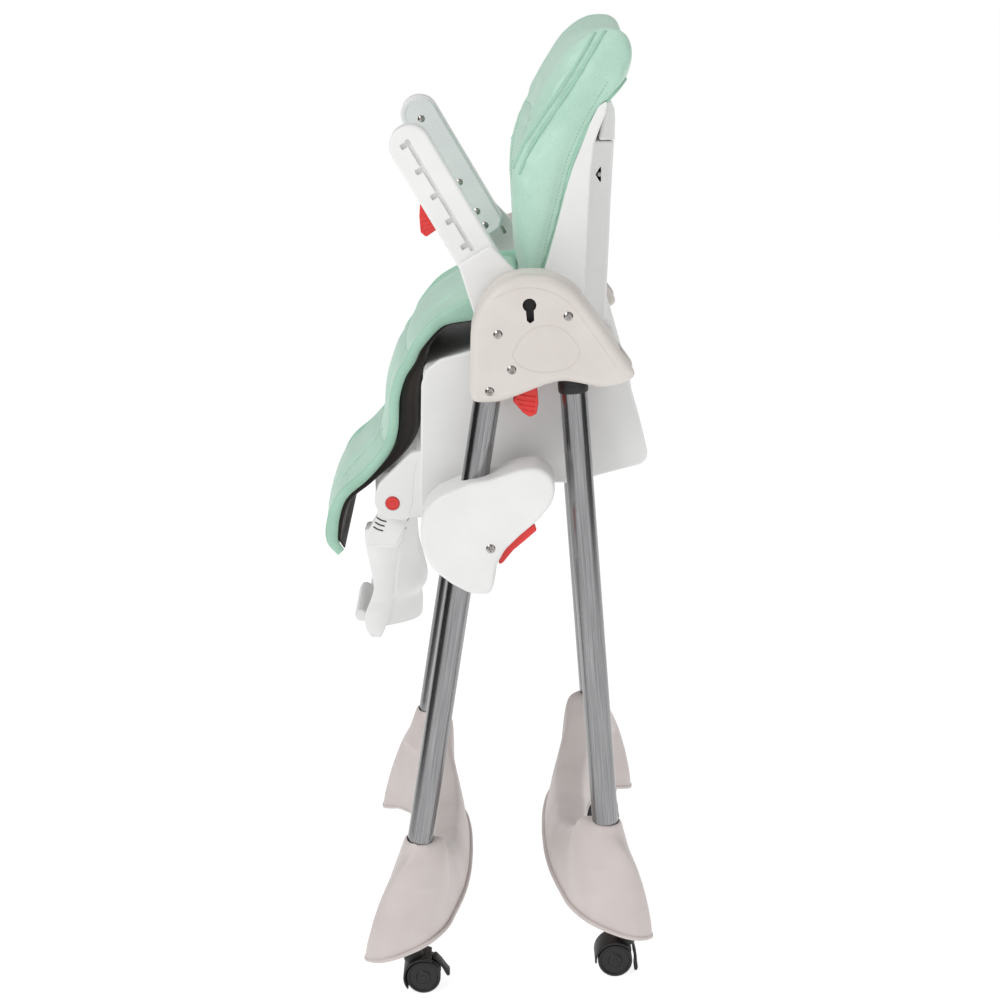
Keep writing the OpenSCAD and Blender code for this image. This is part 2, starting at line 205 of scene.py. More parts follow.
@dataclass(frozen=True)
class Moulded(Finish):
    """Injection-moulded plastic: an even skin with the tool's fine spark-eroded grain."""

    sheen_of_gloss: float = 0.0

    def material(self) -> bpy.types.Material:
        """Builds the plastic: near-flat colour, satin gloss broken by the grain.

        Returns:
            The material.
        """
        material, tree, shader, place = self.start()
        tree.links.new(self.mottled(tree, place).outputs["Color"], shader.inputs["Base Color"])
        grain = add_node(tree, "ShaderNodeTexNoise",
                         {"Scale": 1000 / self.grain_mm, "Detail": 2.0, "Roughness": 0.6},
                         {"Vector": place})
        rough = add_node(tree, "ShaderNodeMapRange",
                         {"To Min": self.roughness - 0.05, "To Max": self.roughness + 0.07},
                         {"Value": grain.outputs["Fac"]})
        tree.links.new(rough.outputs["Result"], shader.inputs["Roughness"])
        shader.inputs["IOR"].default_value = 1.49
        shader.inputs["Coat Weight"].default_value = self.sheen_of_gloss
        shader.inputs["Coat Roughness"].default_value = 0.25
        self.grained(tree, shader, grain.outputs["Fac"])
        return material


@dataclass(frozen=True)
class CoatedCover(Finish):
    """Polyurethane-coated upholstery cloth: soft pebbled grain, low satin gloss."""

    def material(self) -> bpy.types.Material:
        """Builds the cover: pebbles between fine creases, with painted shade darkening the creases
        slightly.

        Returns:
            The material.
        """
        material, tree, shader, place = self.start()
        base = self.mottled(tree, place, 0.3, 0.6)
        pebbles = add_node(tree, "ShaderNodeTexVoronoi", {"Scale": 1000 / self.grain_mm},
                           {"Vector": place}, feature="DISTANCE_TO_EDGE")
        # Painted shade: near the pebbles' edges the base colour is multiplied down by up to a tenth,
        # standing for shade in the creases.
        painted_crease_shade = add_node(tree, "ShaderNodeMapRange", {"From Max": 0.16, "To Min": 0.9, "To Max": 1.0},
                          {"Value": pebbles.outputs["Distance"]})
        # Sockets 6 and 7 are the mix node's colour inputs, and 2 is its colour output.
        toned = add_node(tree, "ShaderNodeMix", {"Factor": 1.0},
                         {6: base.outputs["Color"], 7: painted_crease_shade.outputs["Result"]},
                         data_type="RGBA", blend_type="MULTIPLY")
        tree.links.new(toned.outputs[2], shader.inputs["Base Color"])
        shader.inputs["Roughness"].default_value = self.roughness
        shader.inputs["IOR"].default_value = 1.5
        shader.inputs["Sheen Weight"].default_value = 0.15
        shader.inputs["Sheen Roughness"].default_value = 0.5
        self.grained(tree, shader, pebbles.outputs["Distance"])
        return material


@dataclass(frozen=True)
class WovenCloth(Finish):
    """Plain-woven polyester: threads cross at right angles, matt with a faint sheen."""

    def material(self) -> bpy.types.Material:
        """Builds the cloth: two crossing wave bands make the weave.

        Returns:
            The material.
        """
        material, tree, shader, place = self.start()
        tree.links.new(self.mottled(tree, place).outputs["Color"], shader.inputs["Base Color"])
        waves = [add_node(tree, "ShaderNodeTexWave", {"Scale": 1000 / self.grain_mm / 6.283},
                          {"Vector": place}, bands_direction=way) for way in ("X", "Z")]
        weave = add_node(tree, "ShaderNodeMath", operation="MAXIMUM")
        for index, wave in enumerate(waves):
            tree.links.new(wave.outputs["Fac"], weave.inputs[index])
        shader.inputs["Roughness"].default_value = self.roughness
        shader.inputs["Sheen Weight"].default_value = 0.2
        self.grained(tree, shader, weave.outputs["Value"])
        return material


@dataclass(frozen=True)
class BrushedTube(Finish):
    """Stainless tube, brushed lengthways: long hairlines and a silky streaked gloss."""

    def material(self) -> bpy.types.Material:
        """Builds the steel from hairlines in the tube's own UV map, turn by length.

        Returns:
            The material.
        """
        material, tree, shader, _ = self.start()
        uv = add_node(tree, "ShaderNodeUVMap", uv_map="tube")
        stretch = add_node(tree, "ShaderNodeMapping", {"Scale": (94 / self.grain_mm, 9.0, 1.0)},
                           {"Vector": uv.outputs["UV"]})
        hairs = add_node(tree, "ShaderNodeTexNoise", {"Scale": 1.0, "Detail": 4.0, "Roughness": 0.7},
                         {"Vector": stretch.outputs["Vector"]})
        ramp = self.toned(tree, hairs.outputs["Fac"], 0.3, 0.7)
        rough = add_node(tree, "ShaderNodeMapRange",
                         {"To Min": self.roughness - 0.06, "To Max": self.roughness + 0.1},
                         {"Value": hairs.outputs["Fac"]})
        tree.links.new(ramp.outputs["Color"], shader.inputs["Base Color"])
        tree.links.new(rough.outputs["Result"], shader.inputs["Roughness"])
        shader.inputs["Metallic"].default_value = 1.0
        self.grained(tree, shader, hairs.outputs["Fac"])
        return material


@dataclass(frozen=True)
class ZincPlate(Finish):
    """Bright zinc-plated steel: a thin silvery plate with a faint bloom."""

    def material(self) -> bpy.types.Material:
        """Builds the plate: metal with a slightly uneven gloss.

        Returns:
            The material.
        """
        material, tree, shader, place = self.start()
        bloom = self.mottled(tree, place)
        tree.links.new(bloom.outputs["Color"], shader.inputs["Base Color"])
        shader.inputs["Metallic"].default_value = 1.0
        shader.inputs["Roughness"].default_value = self.roughness
        grain = add_node(tree, "ShaderNodeTexNoise", {"Scale": 1000 / self.grain_mm}, {"Vector": place})
        self.grained(tree, shader, grain.outputs["Fac"])
        return material


# Polypropylene from a fine-grained tool: clean white with soft wide highlights.
WHITE_PP = Moulded("white_polypropylene", "white_plastic", "EEEEED", "E9E9E8", 0.40, 1.4, 0.02)
# The same resin tinted to a warm pearl: the hubs.
PEARL_HUB = Moulded("pearl_hub_polypropylene", "hub_plastic", "DDD7D1", "D7D0CA", 0.42, 1.2, 0.03)
# A slightly rosier batch: the feet.
PEARL_FOOT = Moulded("pearl_foot_polypropylene", "foot_plastic", "D8CFCC", "D1C7C4", 0.42, 1.2, 0.03)
# Grey ABS covers inside the armrests: flat and a little matt.
GREY_ABS = Moulded("grey_abs", "grey_plastic", "E6E6E6", "DFDFE0", 0.5, 1.2, 0.03)
# Red ABS buttons and levers: strong colour, glossier than the white.
RED_ABS = Moulded("red_abs", "red_plastic", "E3302B", "D42722", 0.34, 1.5, 0.02, 60.0, 0.25)
# Nylon of the casters: near-black, slightly dusty.
BLACK_NYLON = Moulded("black_nylon", "black_plastic", "1D1B1B", "161414", 0.5, 1.0, 0.04, 12.0)
# Brushed stainless legs.
BRUSHED_STEEL = BrushedTube("brushed_stainless_tube", "steel_tube", "ACACAD", "707072", 0.22, 1.1, 0.012)
# Screws and pins.
ZINC = ZincPlate("zinc_plated_steel", "zinc_screw", "BDB9B5", "8B8783", 0.2, 1.5, 0.01, 6.0)
# Mint polyurethane-coated cover; the pebbles are drawn at twice their size so that they show.
MINT_COVER = CoatedCover("mint_coated_cover", "mint_cover", "BCE0CE", "B2D8C5", 0.46, 2.2, 0.05, 90.0)
# The same cover a tone deeper: painted shade for where the inside of the wings is seen.
MINT_PAINTED_SHADE = CoatedCover("mint_piping", "mint_cover", "A9D3BE", "9FC9B3", 0.5, 1.6, 0.04, 30.0)
# Black backing cloth under the seat cover.
BLACK_BACKING = WovenCloth("black_backing_cloth", "mint_cover", "2C2522", "241E1B", 0.85, 1.6, 0.12)
# Grey-green sewing thread.
THREAD = WovenCloth("sewing_thread", "mint_cover", "96C4AE", "8BBAA3", 0.7, 0.6, 0.05)

_MATERIALS: dict[str, bpy.types.Material] = {}


def finish_of(finish: Finish) -> bpy.types.Material:
    """The finish's material, built on first use."""
    if finish.name not in _MATERIALS:
        _MATERIALS[finish.name] = finish.material()
    return _MATERIALS[finish.name]


# ---------------------------------------------------------------- outlines


def unit(vector: np.ndarray) -> np.ndarray:
    """The vector at length 1."""
    return vector / max(float(np.linalg.norm(vector)), 1e-9)


def turned(point: Sequence[float], degrees: float) -> np.ndarray:
    """A flat vector turned anticlockwise."""
    a = math.radians(degrees)
    y, z = point
    return np.array([y * math.cos(a) - z * math.sin(a), y * math.sin(a) + z * math.cos(a)])


def arc(centre: Sequence[float], radius: float, first: float, last: float, steps: int = 12) -> Outline:
    """Points on an arc, angles in degrees."""
    angles = np.radians(np.linspace(first, last, steps + 1))
    return [(centre[0] + radius * math.cos(a), centre[1] + radius * math.sin(a)) for a in angles]


def area(outline: np.ndarray) -> float:
    """The signed area of a closed outline, positive when it runs anticlockwise."""
    y, z = outline[:, 0], outline[:, 1]
    return 0.5 * float(np.sum(y * np.roll(z, -1) - np.roll(y, -1) * z))


def rounded(outline: Outline, radius: float, pitch: float = 3.0) -> np.ndarray:
    """Rounds an outline's corners, and runs it anticlockwise.

    Args:
        outline: The corners.
        radius: The fillet radius in millimetres, smaller where a side is short.
        pitch: Distance between the points of the result.

    Returns:
        The closed outline as an array of points.
    """
    corners = np.array(outline, float)
    if area(corners) < 0:
        corners = corners[::-1]
    count = len(corners)
    points: list[np.ndarray] = []
    for i in range(count):
        before, here, after = corners[i - 1], corners[i], corners[(i + 1) % count]
        u, v = unit(before - here), unit(after - here)
        half = math.acos(max(-1.0, min(1.0, float(u @ v)))) / 2
        reach = radius / max(math.tan(half), 0.02)
        reach = min(reach, 0.49 * np.linalg.norm(before - here), 0.49 * np.linalg.norm(after - here))
        a, b = here + u * reach, here + v * reach
        for t in np.linspace(0, 1, 7):
            points.append((1 - t) ** 2 * a + 2 * t * (1 - t) * here + t**2 * b)
    return respaced(np.array(points), pitch)


def respaced(points: np.ndarray, pitch: float, closed: bool = True) -> np.ndarray:
    """Puts points at an even spacing along a path.

    Args:
        points: The path.
        pitch: The distance to aim for.
        closed: Whether the path returns to its start.

    Returns:
        The new points.
    """
    path = np.vstack([points, points[:1]]) if closed else points
    steps = np.linalg.norm(np.diff(path, axis=0), axis=1)
    along = np.concatenate([[0], np.cumsum(steps)])
    count = max(8, int(round(along[-1] / pitch)))
    at = np.linspace(0, along[-1], count + 1)
    result = np.stack([np.interp(at, along, path[:, k]) for k in range(path.shape[1])], axis=1)
    return result[:-1] if closed else result


def smooth_path(points: Sequence[Sequence[float]], pitch: float) -> np.ndarray:
    """A Catmull-Rom curve through points, evenly spaced.

    Args:
        points: The points, of any dimension.
        pitch: The distance between the points of the result.

    Returns:
        The open path.
    """
    p = np.array(points, float)
    p = np.vstack([2 * p[0] - p[1], p, 2 * p[-1] - p[-2]])
    dense = []
    for i in range(1, len(p) - 2):
        for t in np.linspace(0, 1, 16, endpoint=False):
            dense.append(0.5 * (2 * p[i] + (p[i + 1] - p[i - 1]) * t
                                + (2 * p[i - 1] - 5 * p[i] + 4 * p[i + 1] - p[i + 2]) * t**2
                                + (3 * p[i] - p[i - 1] - 3 * p[i + 1] + p[i + 2]) * t**3))
    dense.append(p[-2])
    return respaced(np.array(dense), pitch, closed=False)


def eased(t: np.ndarray | float, table: Sequence[Point]) -> np.ndarray:
    """Reads a table with smooth turns between its rows.

    Args:
        t: Where to read.
        table: Pairs of place and value, rising in place.

    Returns:
        The values.
    """
    xs, ys = np.array(table, float).T
    slopes = np.gradient(ys, xs)
    steps = np.diff(ys) / np.diff(xs)
    for i in range(1, len(xs) - 1):
        if steps[i - 1] * steps[i] <= 0:
            slopes[i] = 0.0
        else:
            slopes[i] = 2 / (1 / steps[i - 1] + 1 / steps[i])
    slopes[0], slopes[-1] = steps[0], steps[-1]
    t = np.clip(np.atleast_1d(np.asarray(t, float)), xs[0], xs[-1])
    i = np.clip(np.searchsorted(xs, t) - 1, 0, len(xs) - 2)
    h = xs[i + 1] - xs[i]
    s = (t - xs[i]) / h
    return ((1 + 2 * s) * (1 - s) ** 2 * ys[i] + s * (1 - s) ** 2 * h * slopes[i]
            + s * s * (3 - 2 * s) * ys[i + 1] + s * s * (s - 1) * h * slopes[i + 1])


# ---------------------------------------------------------------- the bench


@dataclass
class SideFrame:
    """The side view that the chair is drawn in: X across, Y back, Z up, in millimetres."""

    pivot: Point = (40.0, 810.0)
    front_top: Point = (-49.0, 705.0)
    front_slope: float = 8.5
    rear_slope: float = 4.6
    rear_longer: float = 17.0
    tube_across: float = 220.0
    lean: float = field(init=False)
    anchor: Vector = field(init=False)

    def __post_init__(self) -> None:
        """Reads the lean and the anchor from the CAD joints."""
        joints = {joint["name"]: joint for joint in frame["joints"]}
        slide = joints["seat_height"]["axis"]
        self.anchor = Vector(joints["rear_fold"]["pos_m"])
        self.lean = math.degrees(math.atan2(slide[1], slide[2])) - self.front_slope

    def rows(self, points: np.ndarray) -> np.ndarray:
        """Turns side-view points into row-frame points.

        Args:
            points: Side-view points in millimetres.

        Returns:
            Row-frame points in metres.
        """
        points = np.asarray(points, float).reshape(-1, 3)
        a = math.radians(self.lean)
        y, z = points[:, 1] - self.pivot[0], points[:, 2] - self.pivot[1]
        return np.stack([points[:, 0] * MM,
                         self.anchor.y + (y * math.cos(a) + z * math.sin(a)) * MM,
                         self.anchor.z + (-y * math.sin(a) + z * math.cos(a)) * MM], axis=1)

    def row(self, x: float, y: float, z: float) -> Vector:
        """One side-view point as a row-frame point."""
        return Vector(self.rows(np.array([[x, y, z]]))[0])

    def turn(self) -> Matrix:
        """The rotation from the side view to the row frame."""
        return Matrix.Rotation(math.radians(-self.lean), 4, "X")

    def flat(self, places: np.ndarray) -> np.ndarray:
        """Row-frame points in metres as side-view points in millimetres."""
        return (places - np.array(self.anchor)) @ np.array(self.turn().to_3x3()) / MM \
            + np.array([0.0, *self.pivot])

    def leg(self, end: End) -> tuple[tuple[float, ...], tuple[float, ...]]:
        """A point on the axis of one end's left tube, and the way the tube runs down.

        Args:
            end: Which end.

        Returns:
            The point and the direction.
        """
        front = end is End.FRONT
        slope = math.radians(-self.front_slope if front else self.rear_slope)
        start = self.front_top if front else self.pivot
        return (self.tube_across, *start), (0.0, math.sin(slope), -math.cos(slope))

    def lengthened(self, y: float, z: float) -> Point:
        """A point near the rear feet, moved down the rear tube by its extra length."""
        slope = math.radians(self.rear_slope)
        return y + self.rear_longer * math.sin(slope), z - self.rear_longer * math.cos(slope)


VIEW = SideFrame()


def solid(name: str, points: np.ndarray, faces: Faces, finish: Finish,
          side: Side = Side.LEFT, sharp: float = 38.0) -> bpy.types.Object:
    """Makes a mesh piece from side-view points.

    Args:
        name: The piece's name.
        points: Its corners in side-view millimetres, on the +X side.
        faces: Its faces.
        finish: Its finish.
        side: RIGHT mirrors it.
        sharp: Edges turning more than this many degrees stay sharp.

    Returns:
        The object, at the origin, with its place in its mesh.
    """
    points = np.array(points, float)
    if side is Side.RIGHT:
        points[:, 0] *= -1
    mesh = bpy.data.meshes.new(name)
    mesh.from_pydata(VIEW.rows(points).tolist(), [], faces)
    piece = bpy.data.objects.new(name, mesh)
    bpy.context.scene.collection.objects.link(piece)
    mesh.materials.append(finish_of(finish))
    tidy_mesh(mesh, sharp)
    return piece


def placed(piece: bpy.types.Object, body: str, slot: str, *nodes: str) -> None:
    """Rides a piece on its body and takes the place of CAD nodes.

    Args:
        piece: The piece.
        body: The body that it moves with.
        slot: Its slot in the record; not used.
        *nodes: The CAD nodes that it replaces.
    """
    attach(piece, body)
    if nodes:
        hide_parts(*nodes)


def renamed(piece: bpy.types.Object, name: str) -> bpy.types.Object:
    """Gives a piece and its mesh one name."""
    piece.name = piece.data.name = name
    return piece


def smoothed(mesh: bpy.types.Mesh, sharp: float = 38.0) -> None:
    """Smooths a mesh but for the edges that turn more than sharp degrees."""
    mesh.shade_smooth()
    mesh.set_sharp_from_angle(angle=math.radians(sharp))


def tidy_mesh(mesh: bpy.types.Mesh, sharp: float = 38.0, merge_mm: float = 0.02) -> None:
    """Merges doubles, turns the faces outwards and smooths all but the sharp edges.

    Args:
        mesh: The mesh.
        sharp: Edges turning more than this many degrees stay sharp.
        merge_mm: Points closer than this are merged.
    """
    work = bmesh.new()
    work.from_mesh(mesh)
    bmesh.ops.remove_doubles(work, verts=work.verts, dist=merge_mm * MM)
    bmesh.ops.dissolve_degenerate(work, edges=work.edges, dist=0.005 * MM)
    bmesh.ops.recalc_face_normals(work, faces=work.faces)
    work.to_mesh(mesh)
    work.free()
    smoothed(mesh, sharp)


def applied(piece: bpy.types.Object) -> bpy.types.Object:
    """Turns a piece's modifiers into plain mesh.

    Args:
        piece: The piece.

    Returns:
        The same piece, with no modifier left.
    """
    graph = bpy.context.evaluated_depsgraph_get()
    mesh = bpy.data.meshes.new_from_object(piece.evaluated_get(graph))
    piece.modifiers.clear()
    old, piece.data = piece.data, mesh
    if old.users == 0:
        bpy.data.meshes.remove(old)
    mesh.name = piece.name
    return piece


def cut(piece: bpy.types.Object, cutters: Sequence[bpy.types.Object], sharp: float = 38.0,
        operation: str = "DIFFERENCE") -> bpy.types.Object:
    """Cuts other shapes out of a piece, and removes them.

    Args:
        piece: The piece to cut.
        cutters: The shapes to take away or add.
        sharp: The angle past which an edge stays sharp.
        operation: A Boolean modifier's operation.

    Returns:
        The piece.
    """
    for cutter in cutters:
        modifier = piece.modifiers.new("cut", "BOOLEAN")
        modifier.object = cutter
        modifier.operation = operation
        modifier.solver = "EXACT"
    bpy.context.view_layer.update()
    applied(piece)
    for cutter in cutters:
        bpy.data.objects.remove(cutter)
    mesh = piece.data
    while len(mesh.materials) > 1:
        mesh.materials.pop(index=len(mesh.materials) - 1)
    for polygon in mesh.polygons:
        polygon.material_index = 0
    smoothed(mesh, sharp)
    return piece


def joined(name: str, pieces: Sequence[bpy.types.Object], sharp: float = 38.0) -> bpy.types.Object:
    """Joins pieces into one object.

    Args:
        name: The new piece's name.
        pieces: The pieces; the first gives the finish slots' order.
        sharp: The angle past which an edge stays sharp.

    Returns:
        The joined piece.
    """
    work = bmesh.new()
    slots: list[bpy.types.Material] = []
    for piece in pieces:
        for material in piece.data.materials:
            if material not in slots:
                slots.append(material)
        first = len(work.faces)
        work.from_mesh(piece.data)
        work.faces.ensure_lookup_table()
        for polygon in work.faces[first:]:
            polygon.material_index = slots.index(piece.data.materials[polygon.material_index])
    mesh = bpy.data.meshes.new(name)
    work.to_mesh(mesh)
    work.free()
    for material in slots:
        mesh.materials.append(material)
    for piece in pieces:
        bpy.data.objects.remove(piece)
    result = bpy.data.objects.new(name, mesh)
    bpy.context.scene.collection.objects.link(result)
    smoothed(mesh, sharp)
    return result


def room_inside(outline: np.ndarray, limit: float) -> tuple[np.ndarray, np.ndarray]:
    """How far each point of an outline can move inwards before it meets another part of it.

    Args:
        outline: A closed anticlockwise outline.
        limit: The most that is asked for.

    Returns:
        The inward direction and the room at each point.
    """
    forward = np.roll(outline, -1, axis=0) - np.roll(outline, 1, axis=0)
    normal = np.stack([-forward[:, 1], forward[:, 0]], axis=1)
    normal /= np.maximum(np.linalg.norm(normal, axis=1, keepdims=True), 1e-9)
    room = np.full(len(outline), limit)
    for reach in np.linspace(limit, 0, 13):
        moved = outline + normal * reach
        gap = np.linalg.norm(moved[:, None, :] - outline[None, :, :], axis=2).min(axis=1)
        short = (gap < reach * 0.97 - 0.05) & (room >= reach - 1e-6)
        room[short] = max(reach - limit / 12, 0.0)
    for _ in range(25):
        room = np.minimum(room, (np.roll(room, 1) + room + np.roll(room, -1)) / 3 + 0.2)
    return normal, room


def slab(name: str, outline: Outline | np.ndarray, x0: float, x1: float, finish: Finish,
         edge0: float = 1.5, edge1: float = 1.5, corner: float = 4.0, side: Side = Side.LEFT,
         pitch: float = 3.0) -> bpy.types.Object:
    """A moulding: a side outline run across from x0 to x1 with rounded rims.

    Args:
        name: The piece's name.
        outline: Its side outline.
        x0: Its inner face.
        x1: Its outer face.
        finish: Its finish.
        edge0: Radius of the inner rim.
        edge1: Radius of the outer rim.
        corner: Fillet radius of the outline's own corners.
        side: RIGHT mirrors it.
        pitch: Spacing of the outline's points.

    Returns:
        The piece.
    """
    shape = rounded(outline, corner, pitch) if corner else np.array(outline, float)
    if area(shape) < 0:
        shape = shape[::-1]
    count = len(shape)
    normal, room = room_inside(shape, max(edge0, edge1) + 1.0)

    def rim(edge: float, face: float, way: float) -> list[np.ndarray]:
        """Makes a quarter-round rim, smaller where the outline is narrow, up to a flat face.

        Args:
            edge: Its radius.
            face: X of the flat face.
            way: 1 for the outer face, -1 for the inner one.

        Returns:
            The rim's rings, from the side wall to the face.
        """
        local = np.minimum(edge, room * 0.6)
        steps = 7 if edge > 3 else 3
        made = []
        for turn in np.linspace(0, math.pi / 2, steps + 1):
            inward = local * (1 - math.cos(turn))
            height = face - way * local * (1 - math.sin(turn))
            made.append(np.column_stack([height, shape + normal * inward[:, None]]))
        inward = local + np.minimum(0.9, room * 0.25)
        made.append(np.column_stack([np.full(count, face), shape + normal * inward[:, None]]))
        return made

    rings = [*reversed(rim(edge0, x0, -1)), *rim(edge1, x1, 1)]
    return solid(name, np.vstack(rings), rod_faces(len(rings), count), finish, side)


def turned_piece(name: str, base: Sequence[float], along: Sequence[float],
                 profile: Sequence[Point], finish: Finish, side: Side = Side.LEFT,
                 segments: int = 64, uv: bool = False) -> bpy.types.Object:
    """A turned piece: a profile of (length along the axis, radius) spun round the axis.

    Args:
        name: The piece's name.
        base: A point on the axis, in side-view millimetres.
        along: The axis direction.
        profile: Places along the axis and radii, closed by itself or ending on the axis.
        finish: Its finish.
        side: RIGHT mirrors it.
        segments: How many steps go round.
        uv: Whether it needs a UV map of turn by length, for hairlines.

    Returns:
        The piece.
    """
    axis = unit(np.array(along, float))
    helper = np.array([1.0, 0, 0]) if abs(axis[0]) < 0.8 else np.array([0, 1.0, 0])
    u = unit(np.cross(axis, helper))
    v = np.cross(axis, u)
    points, faces = [], []
    for k in range(segments):
        a = 2 * math.pi * k / segments
        out = u * math.cos(a) + v * math.sin(a)
        for s, r in profile:
            points.append(np.array(base, float) + axis * s + out * r)
    count = len(profile)
    for k in range(segments):
        m = (k + 1) % segments
        for j in range(count - 1):
            faces.append((k * count + j, m * count + j, m * count + j + 1, k * count + j + 1))
        if math.hypot(profile[0][0] - profile[-1][0], profile[0][1] - profile[-1][1]) > 1e-6:
            if profile[0][1] > 1e-6 or profile[-1][1] > 1e-6:
                faces.append((k * count + count - 1, m * count + count - 1, m * count, k * count))
    piece = solid(name, np.array(points), faces, finish, side)
    if uv:
        wrap_uv(piece, base, axis, u, v, side)
    return piece


def peg(base: Sequence[float], radius: float, length: float, finish: Finish = WHITE_PP,
        name: str = "peg") -> bpy.types.Object:
    """A plain round bar that runs outwards along X, also used to drill a hole.

    Args:
        base: The middle of its inner end.
        radius: Its radius.
        length: Its length.
        finish: Its finish, white polypropylene unless another is given.
        name: The piece's name.

    Returns:
        The bar.
    """
    return turned_piece(name, base, (1, 0, 0), [(0, 0), (0, radius), (length, radius), (length, 0)],
                        finish)


def wrap_uv(piece: bpy.types.Object, base: Sequence[float], axis: np.ndarray, u: np.ndarray,
            v: np.ndarray, side: Side) -> None:
    """Gives a tube a UV map of turn, 0 to 1, by length in metres.

    Args:
        piece: The tube.
        base: A point on its axis, in side-view millimetres.
        axis: Its axis.
        u: The direction where a turn starts.
        v: The direction a quarter turn on.
        side: The side that the tube is on.
    """
    flip = np.array([side.value, 1, 1])
    turn = np.array(VIEW.turn().to_3x3())
    start = VIEW.rows((np.array(base, float) * flip)[None, :])[0]
    axis, u, v = (turn @ (w * flip) for w in (axis, u, v))
    mesh = piece.data
    layer = mesh.uv_layers.new(name="tube")
    for polygon in mesh.polygons:
        turns = []
        for loop in polygon.loop_indices:
            offset = np.array(mesh.vertices[mesh.loops[loop].vertex_index].co) - start
            turns.append((math.atan2(offset @ v, offset @ u) / (2 * math.pi) % 1.0, offset @ axis))
        wrap = max(t for t, _ in turns) - min(t for t, _ in turns) > 0.5
        for loop, (t, length) in zip(polygon.loop_indices, turns):
            layer.data[loop].uv = (t + 1 if wrap and t < 0.5 else t, length)


def grid_faces(rows: int, columns: int, wrap: bool = False) -> Faces:
    """Makes the faces of a grid of points.

    Args:
        rows: How many rows it has.
        columns: How many points each row has.
        wrap: Whether each row closes on itself.

    Returns:
        The faces.
    """
    faces: Faces = []
    for i in range(rows - 1):
        for j in range(columns if wrap else columns - 1):
            k = (j + 1) % columns
            a, b = i * columns, (i + 1) * columns
            faces.append((a + j, a + k, b + k, b + j))
    return faces


def rod_faces(rows: int, around: int) -> Faces:
    """The faces of a run of rings with both ends closed."""
    return grid_faces(rows, around, wrap=True) + [
        tuple(reversed(range(around))), tuple(range((rows - 1) * around, rows * around))]


def sheet_faces(rows: int, columns: int) -> Faces:
    """Makes the faces of a closed sheet: a grid of outer points, then the same grid of inner ones.

    Args:
        rows: How many rows each grid has.
        columns: How many points each row has.

    Returns:
        The faces of both grids and of the four edges between them.
    """
    start = rows * columns
    faces = grid_faces(rows, columns)
    faces += [tuple(start + i for i in reversed(face)) for face in grid_faces(rows, columns)]
    edges = [(i * columns + j, (i + 1) * columns + j) for i in range(rows - 1) for j in (0, columns - 1)]
    edges += [(i * columns + j, i * columns + j + 1) for i in (0, rows - 1) for j in range(columns - 1)]
    return faces + [(a, b, start + b, start + a) for a, b in edges]


def piped(name: str, path: np.ndarray, radius: float, finish: Finish, side: Side = Side.LEFT,
          segments: int = 8, closed: bool = False) -> bpy.types.Object:
    """A round cord swept along a path of side-view points.

    Args:
        name: The piece's name.
        path: The path.
        radius: The cord's radius in millimetres.
        finish: Its finish.
        side: RIGHT mirrors it.
        segments: How many sides it has.
        closed: Whether the path returns to its start.

    Returns:
        The piece.
    """
    forward = np.gradient(path, axis=0)
    if closed:
        forward = np.roll(path, -1, axis=0) - np.roll(path, 1, axis=0)
    points = []
    up = np.array([1.0, 0.3, 0.2])
    for place, way in zip(path, forward):
        way = unit(way)
        u = unit(np.cross(way, up))
        v = np.cross(way, u)
        up = np.cross(u, way)
        for k in range(segments):
            a = 2 * math.pi * k / segments
            points.append(place + radius * (u * math.cos(a) + v * math.sin(a)))
    if closed:
        faces = grid_faces(len(path) + 1, segments, wrap=True)
        faces = [tuple(i % len(points) for i in face) for face in faces]
    else:
        faces = rod_faces(len(path), segments)
    return solid(name, np.array(points), faces, finish, side)


# ---------------------------------------------------------------- repeated details


def copying_tree(name: str, sockets: dict[str, str]) -> tuple[bpy.types.NodeTree, Any, Any]:
    """Starts a Geometry Nodes tree that puts copies of one object on a piece.

    Args:
        name: The tree's name.
        sockets: Name and type of each input beside Geometry, Copied and Finish.

    Returns:
        The tree, its input sockets, and the geometry of the copied object.
    """
    tree = bpy.data.node_groups.new(name, "GeometryNodeTree")
    sockets = {"Geometry": "NodeSocketGeometry", "Copied": "NodeSocketObject",
               "Finish": "NodeSocketMaterial", **sockets}
    for label, kind in sockets.items():
        tree.interface.new_socket(label, in_out="INPUT", socket_type=kind)
    tree.interface.new_socket("Geometry", in_out="OUTPUT", socket_type="NodeSocketGeometry")
    inputs = add_node(tree, "NodeGroupInput").outputs
    copied = add_node(tree, "GeometryNodeObjectInfo", links={"Object": inputs["Copied"]})
    return tree, inputs, copied.outputs["Geometry"]


def copies_made(carrier: bpy.types.Object, tree: bpy.types.NodeTree, inputs: Any,
                links: dict[str, Any], chosen: dict[str, Any],
                sharp: float = 38.0) -> bpy.types.Object:
    """Ends a copying tree, runs it on its carrier and turns the result into plain mesh.

    Args:
        carrier: The piece that the tree runs on.
        tree: The tree.
        inputs: The tree's input sockets.
        links: The sockets that give the copies' Points, Instance and Rotation.
        chosen: Name and value of each input of the tree; Copied is removed afterwards.
        sharp: Edges turning more than this many degrees stay sharp.

    Returns:
        The carrier, now one mesh with all the copies.
    """
    copies = add_node(tree, "GeometryNodeInstanceOnPoints", links=links)
    real = add_node(tree, "GeometryNodeRealizeInstances",
                    links={"Geometry": copies.outputs["Instances"]})
    dressed = add_node(tree, "GeometryNodeSetMaterial",
                       links={"Geometry": real.outputs["Geometry"], "Material": inputs["Finish"]})
    add_node(tree, "NodeGroupOutput", links={"Geometry": dressed.outputs["Geometry"]})
    modifier = carrier.modifiers.new("copies", "NODES")
    modifier.node_group = tree
    for item in tree.interface.items_tree:
        if item.in_out == "INPUT" and item.name in chosen:
            modifier[item.identifier] = chosen[item.name]
    carrier.update_tag()
    bpy.context.view_layer.update()
    applied(carrier)
    bpy.data.objects.remove(chosen["Copied"])
    smoothed(carrier.data, sharp)
    return carrier


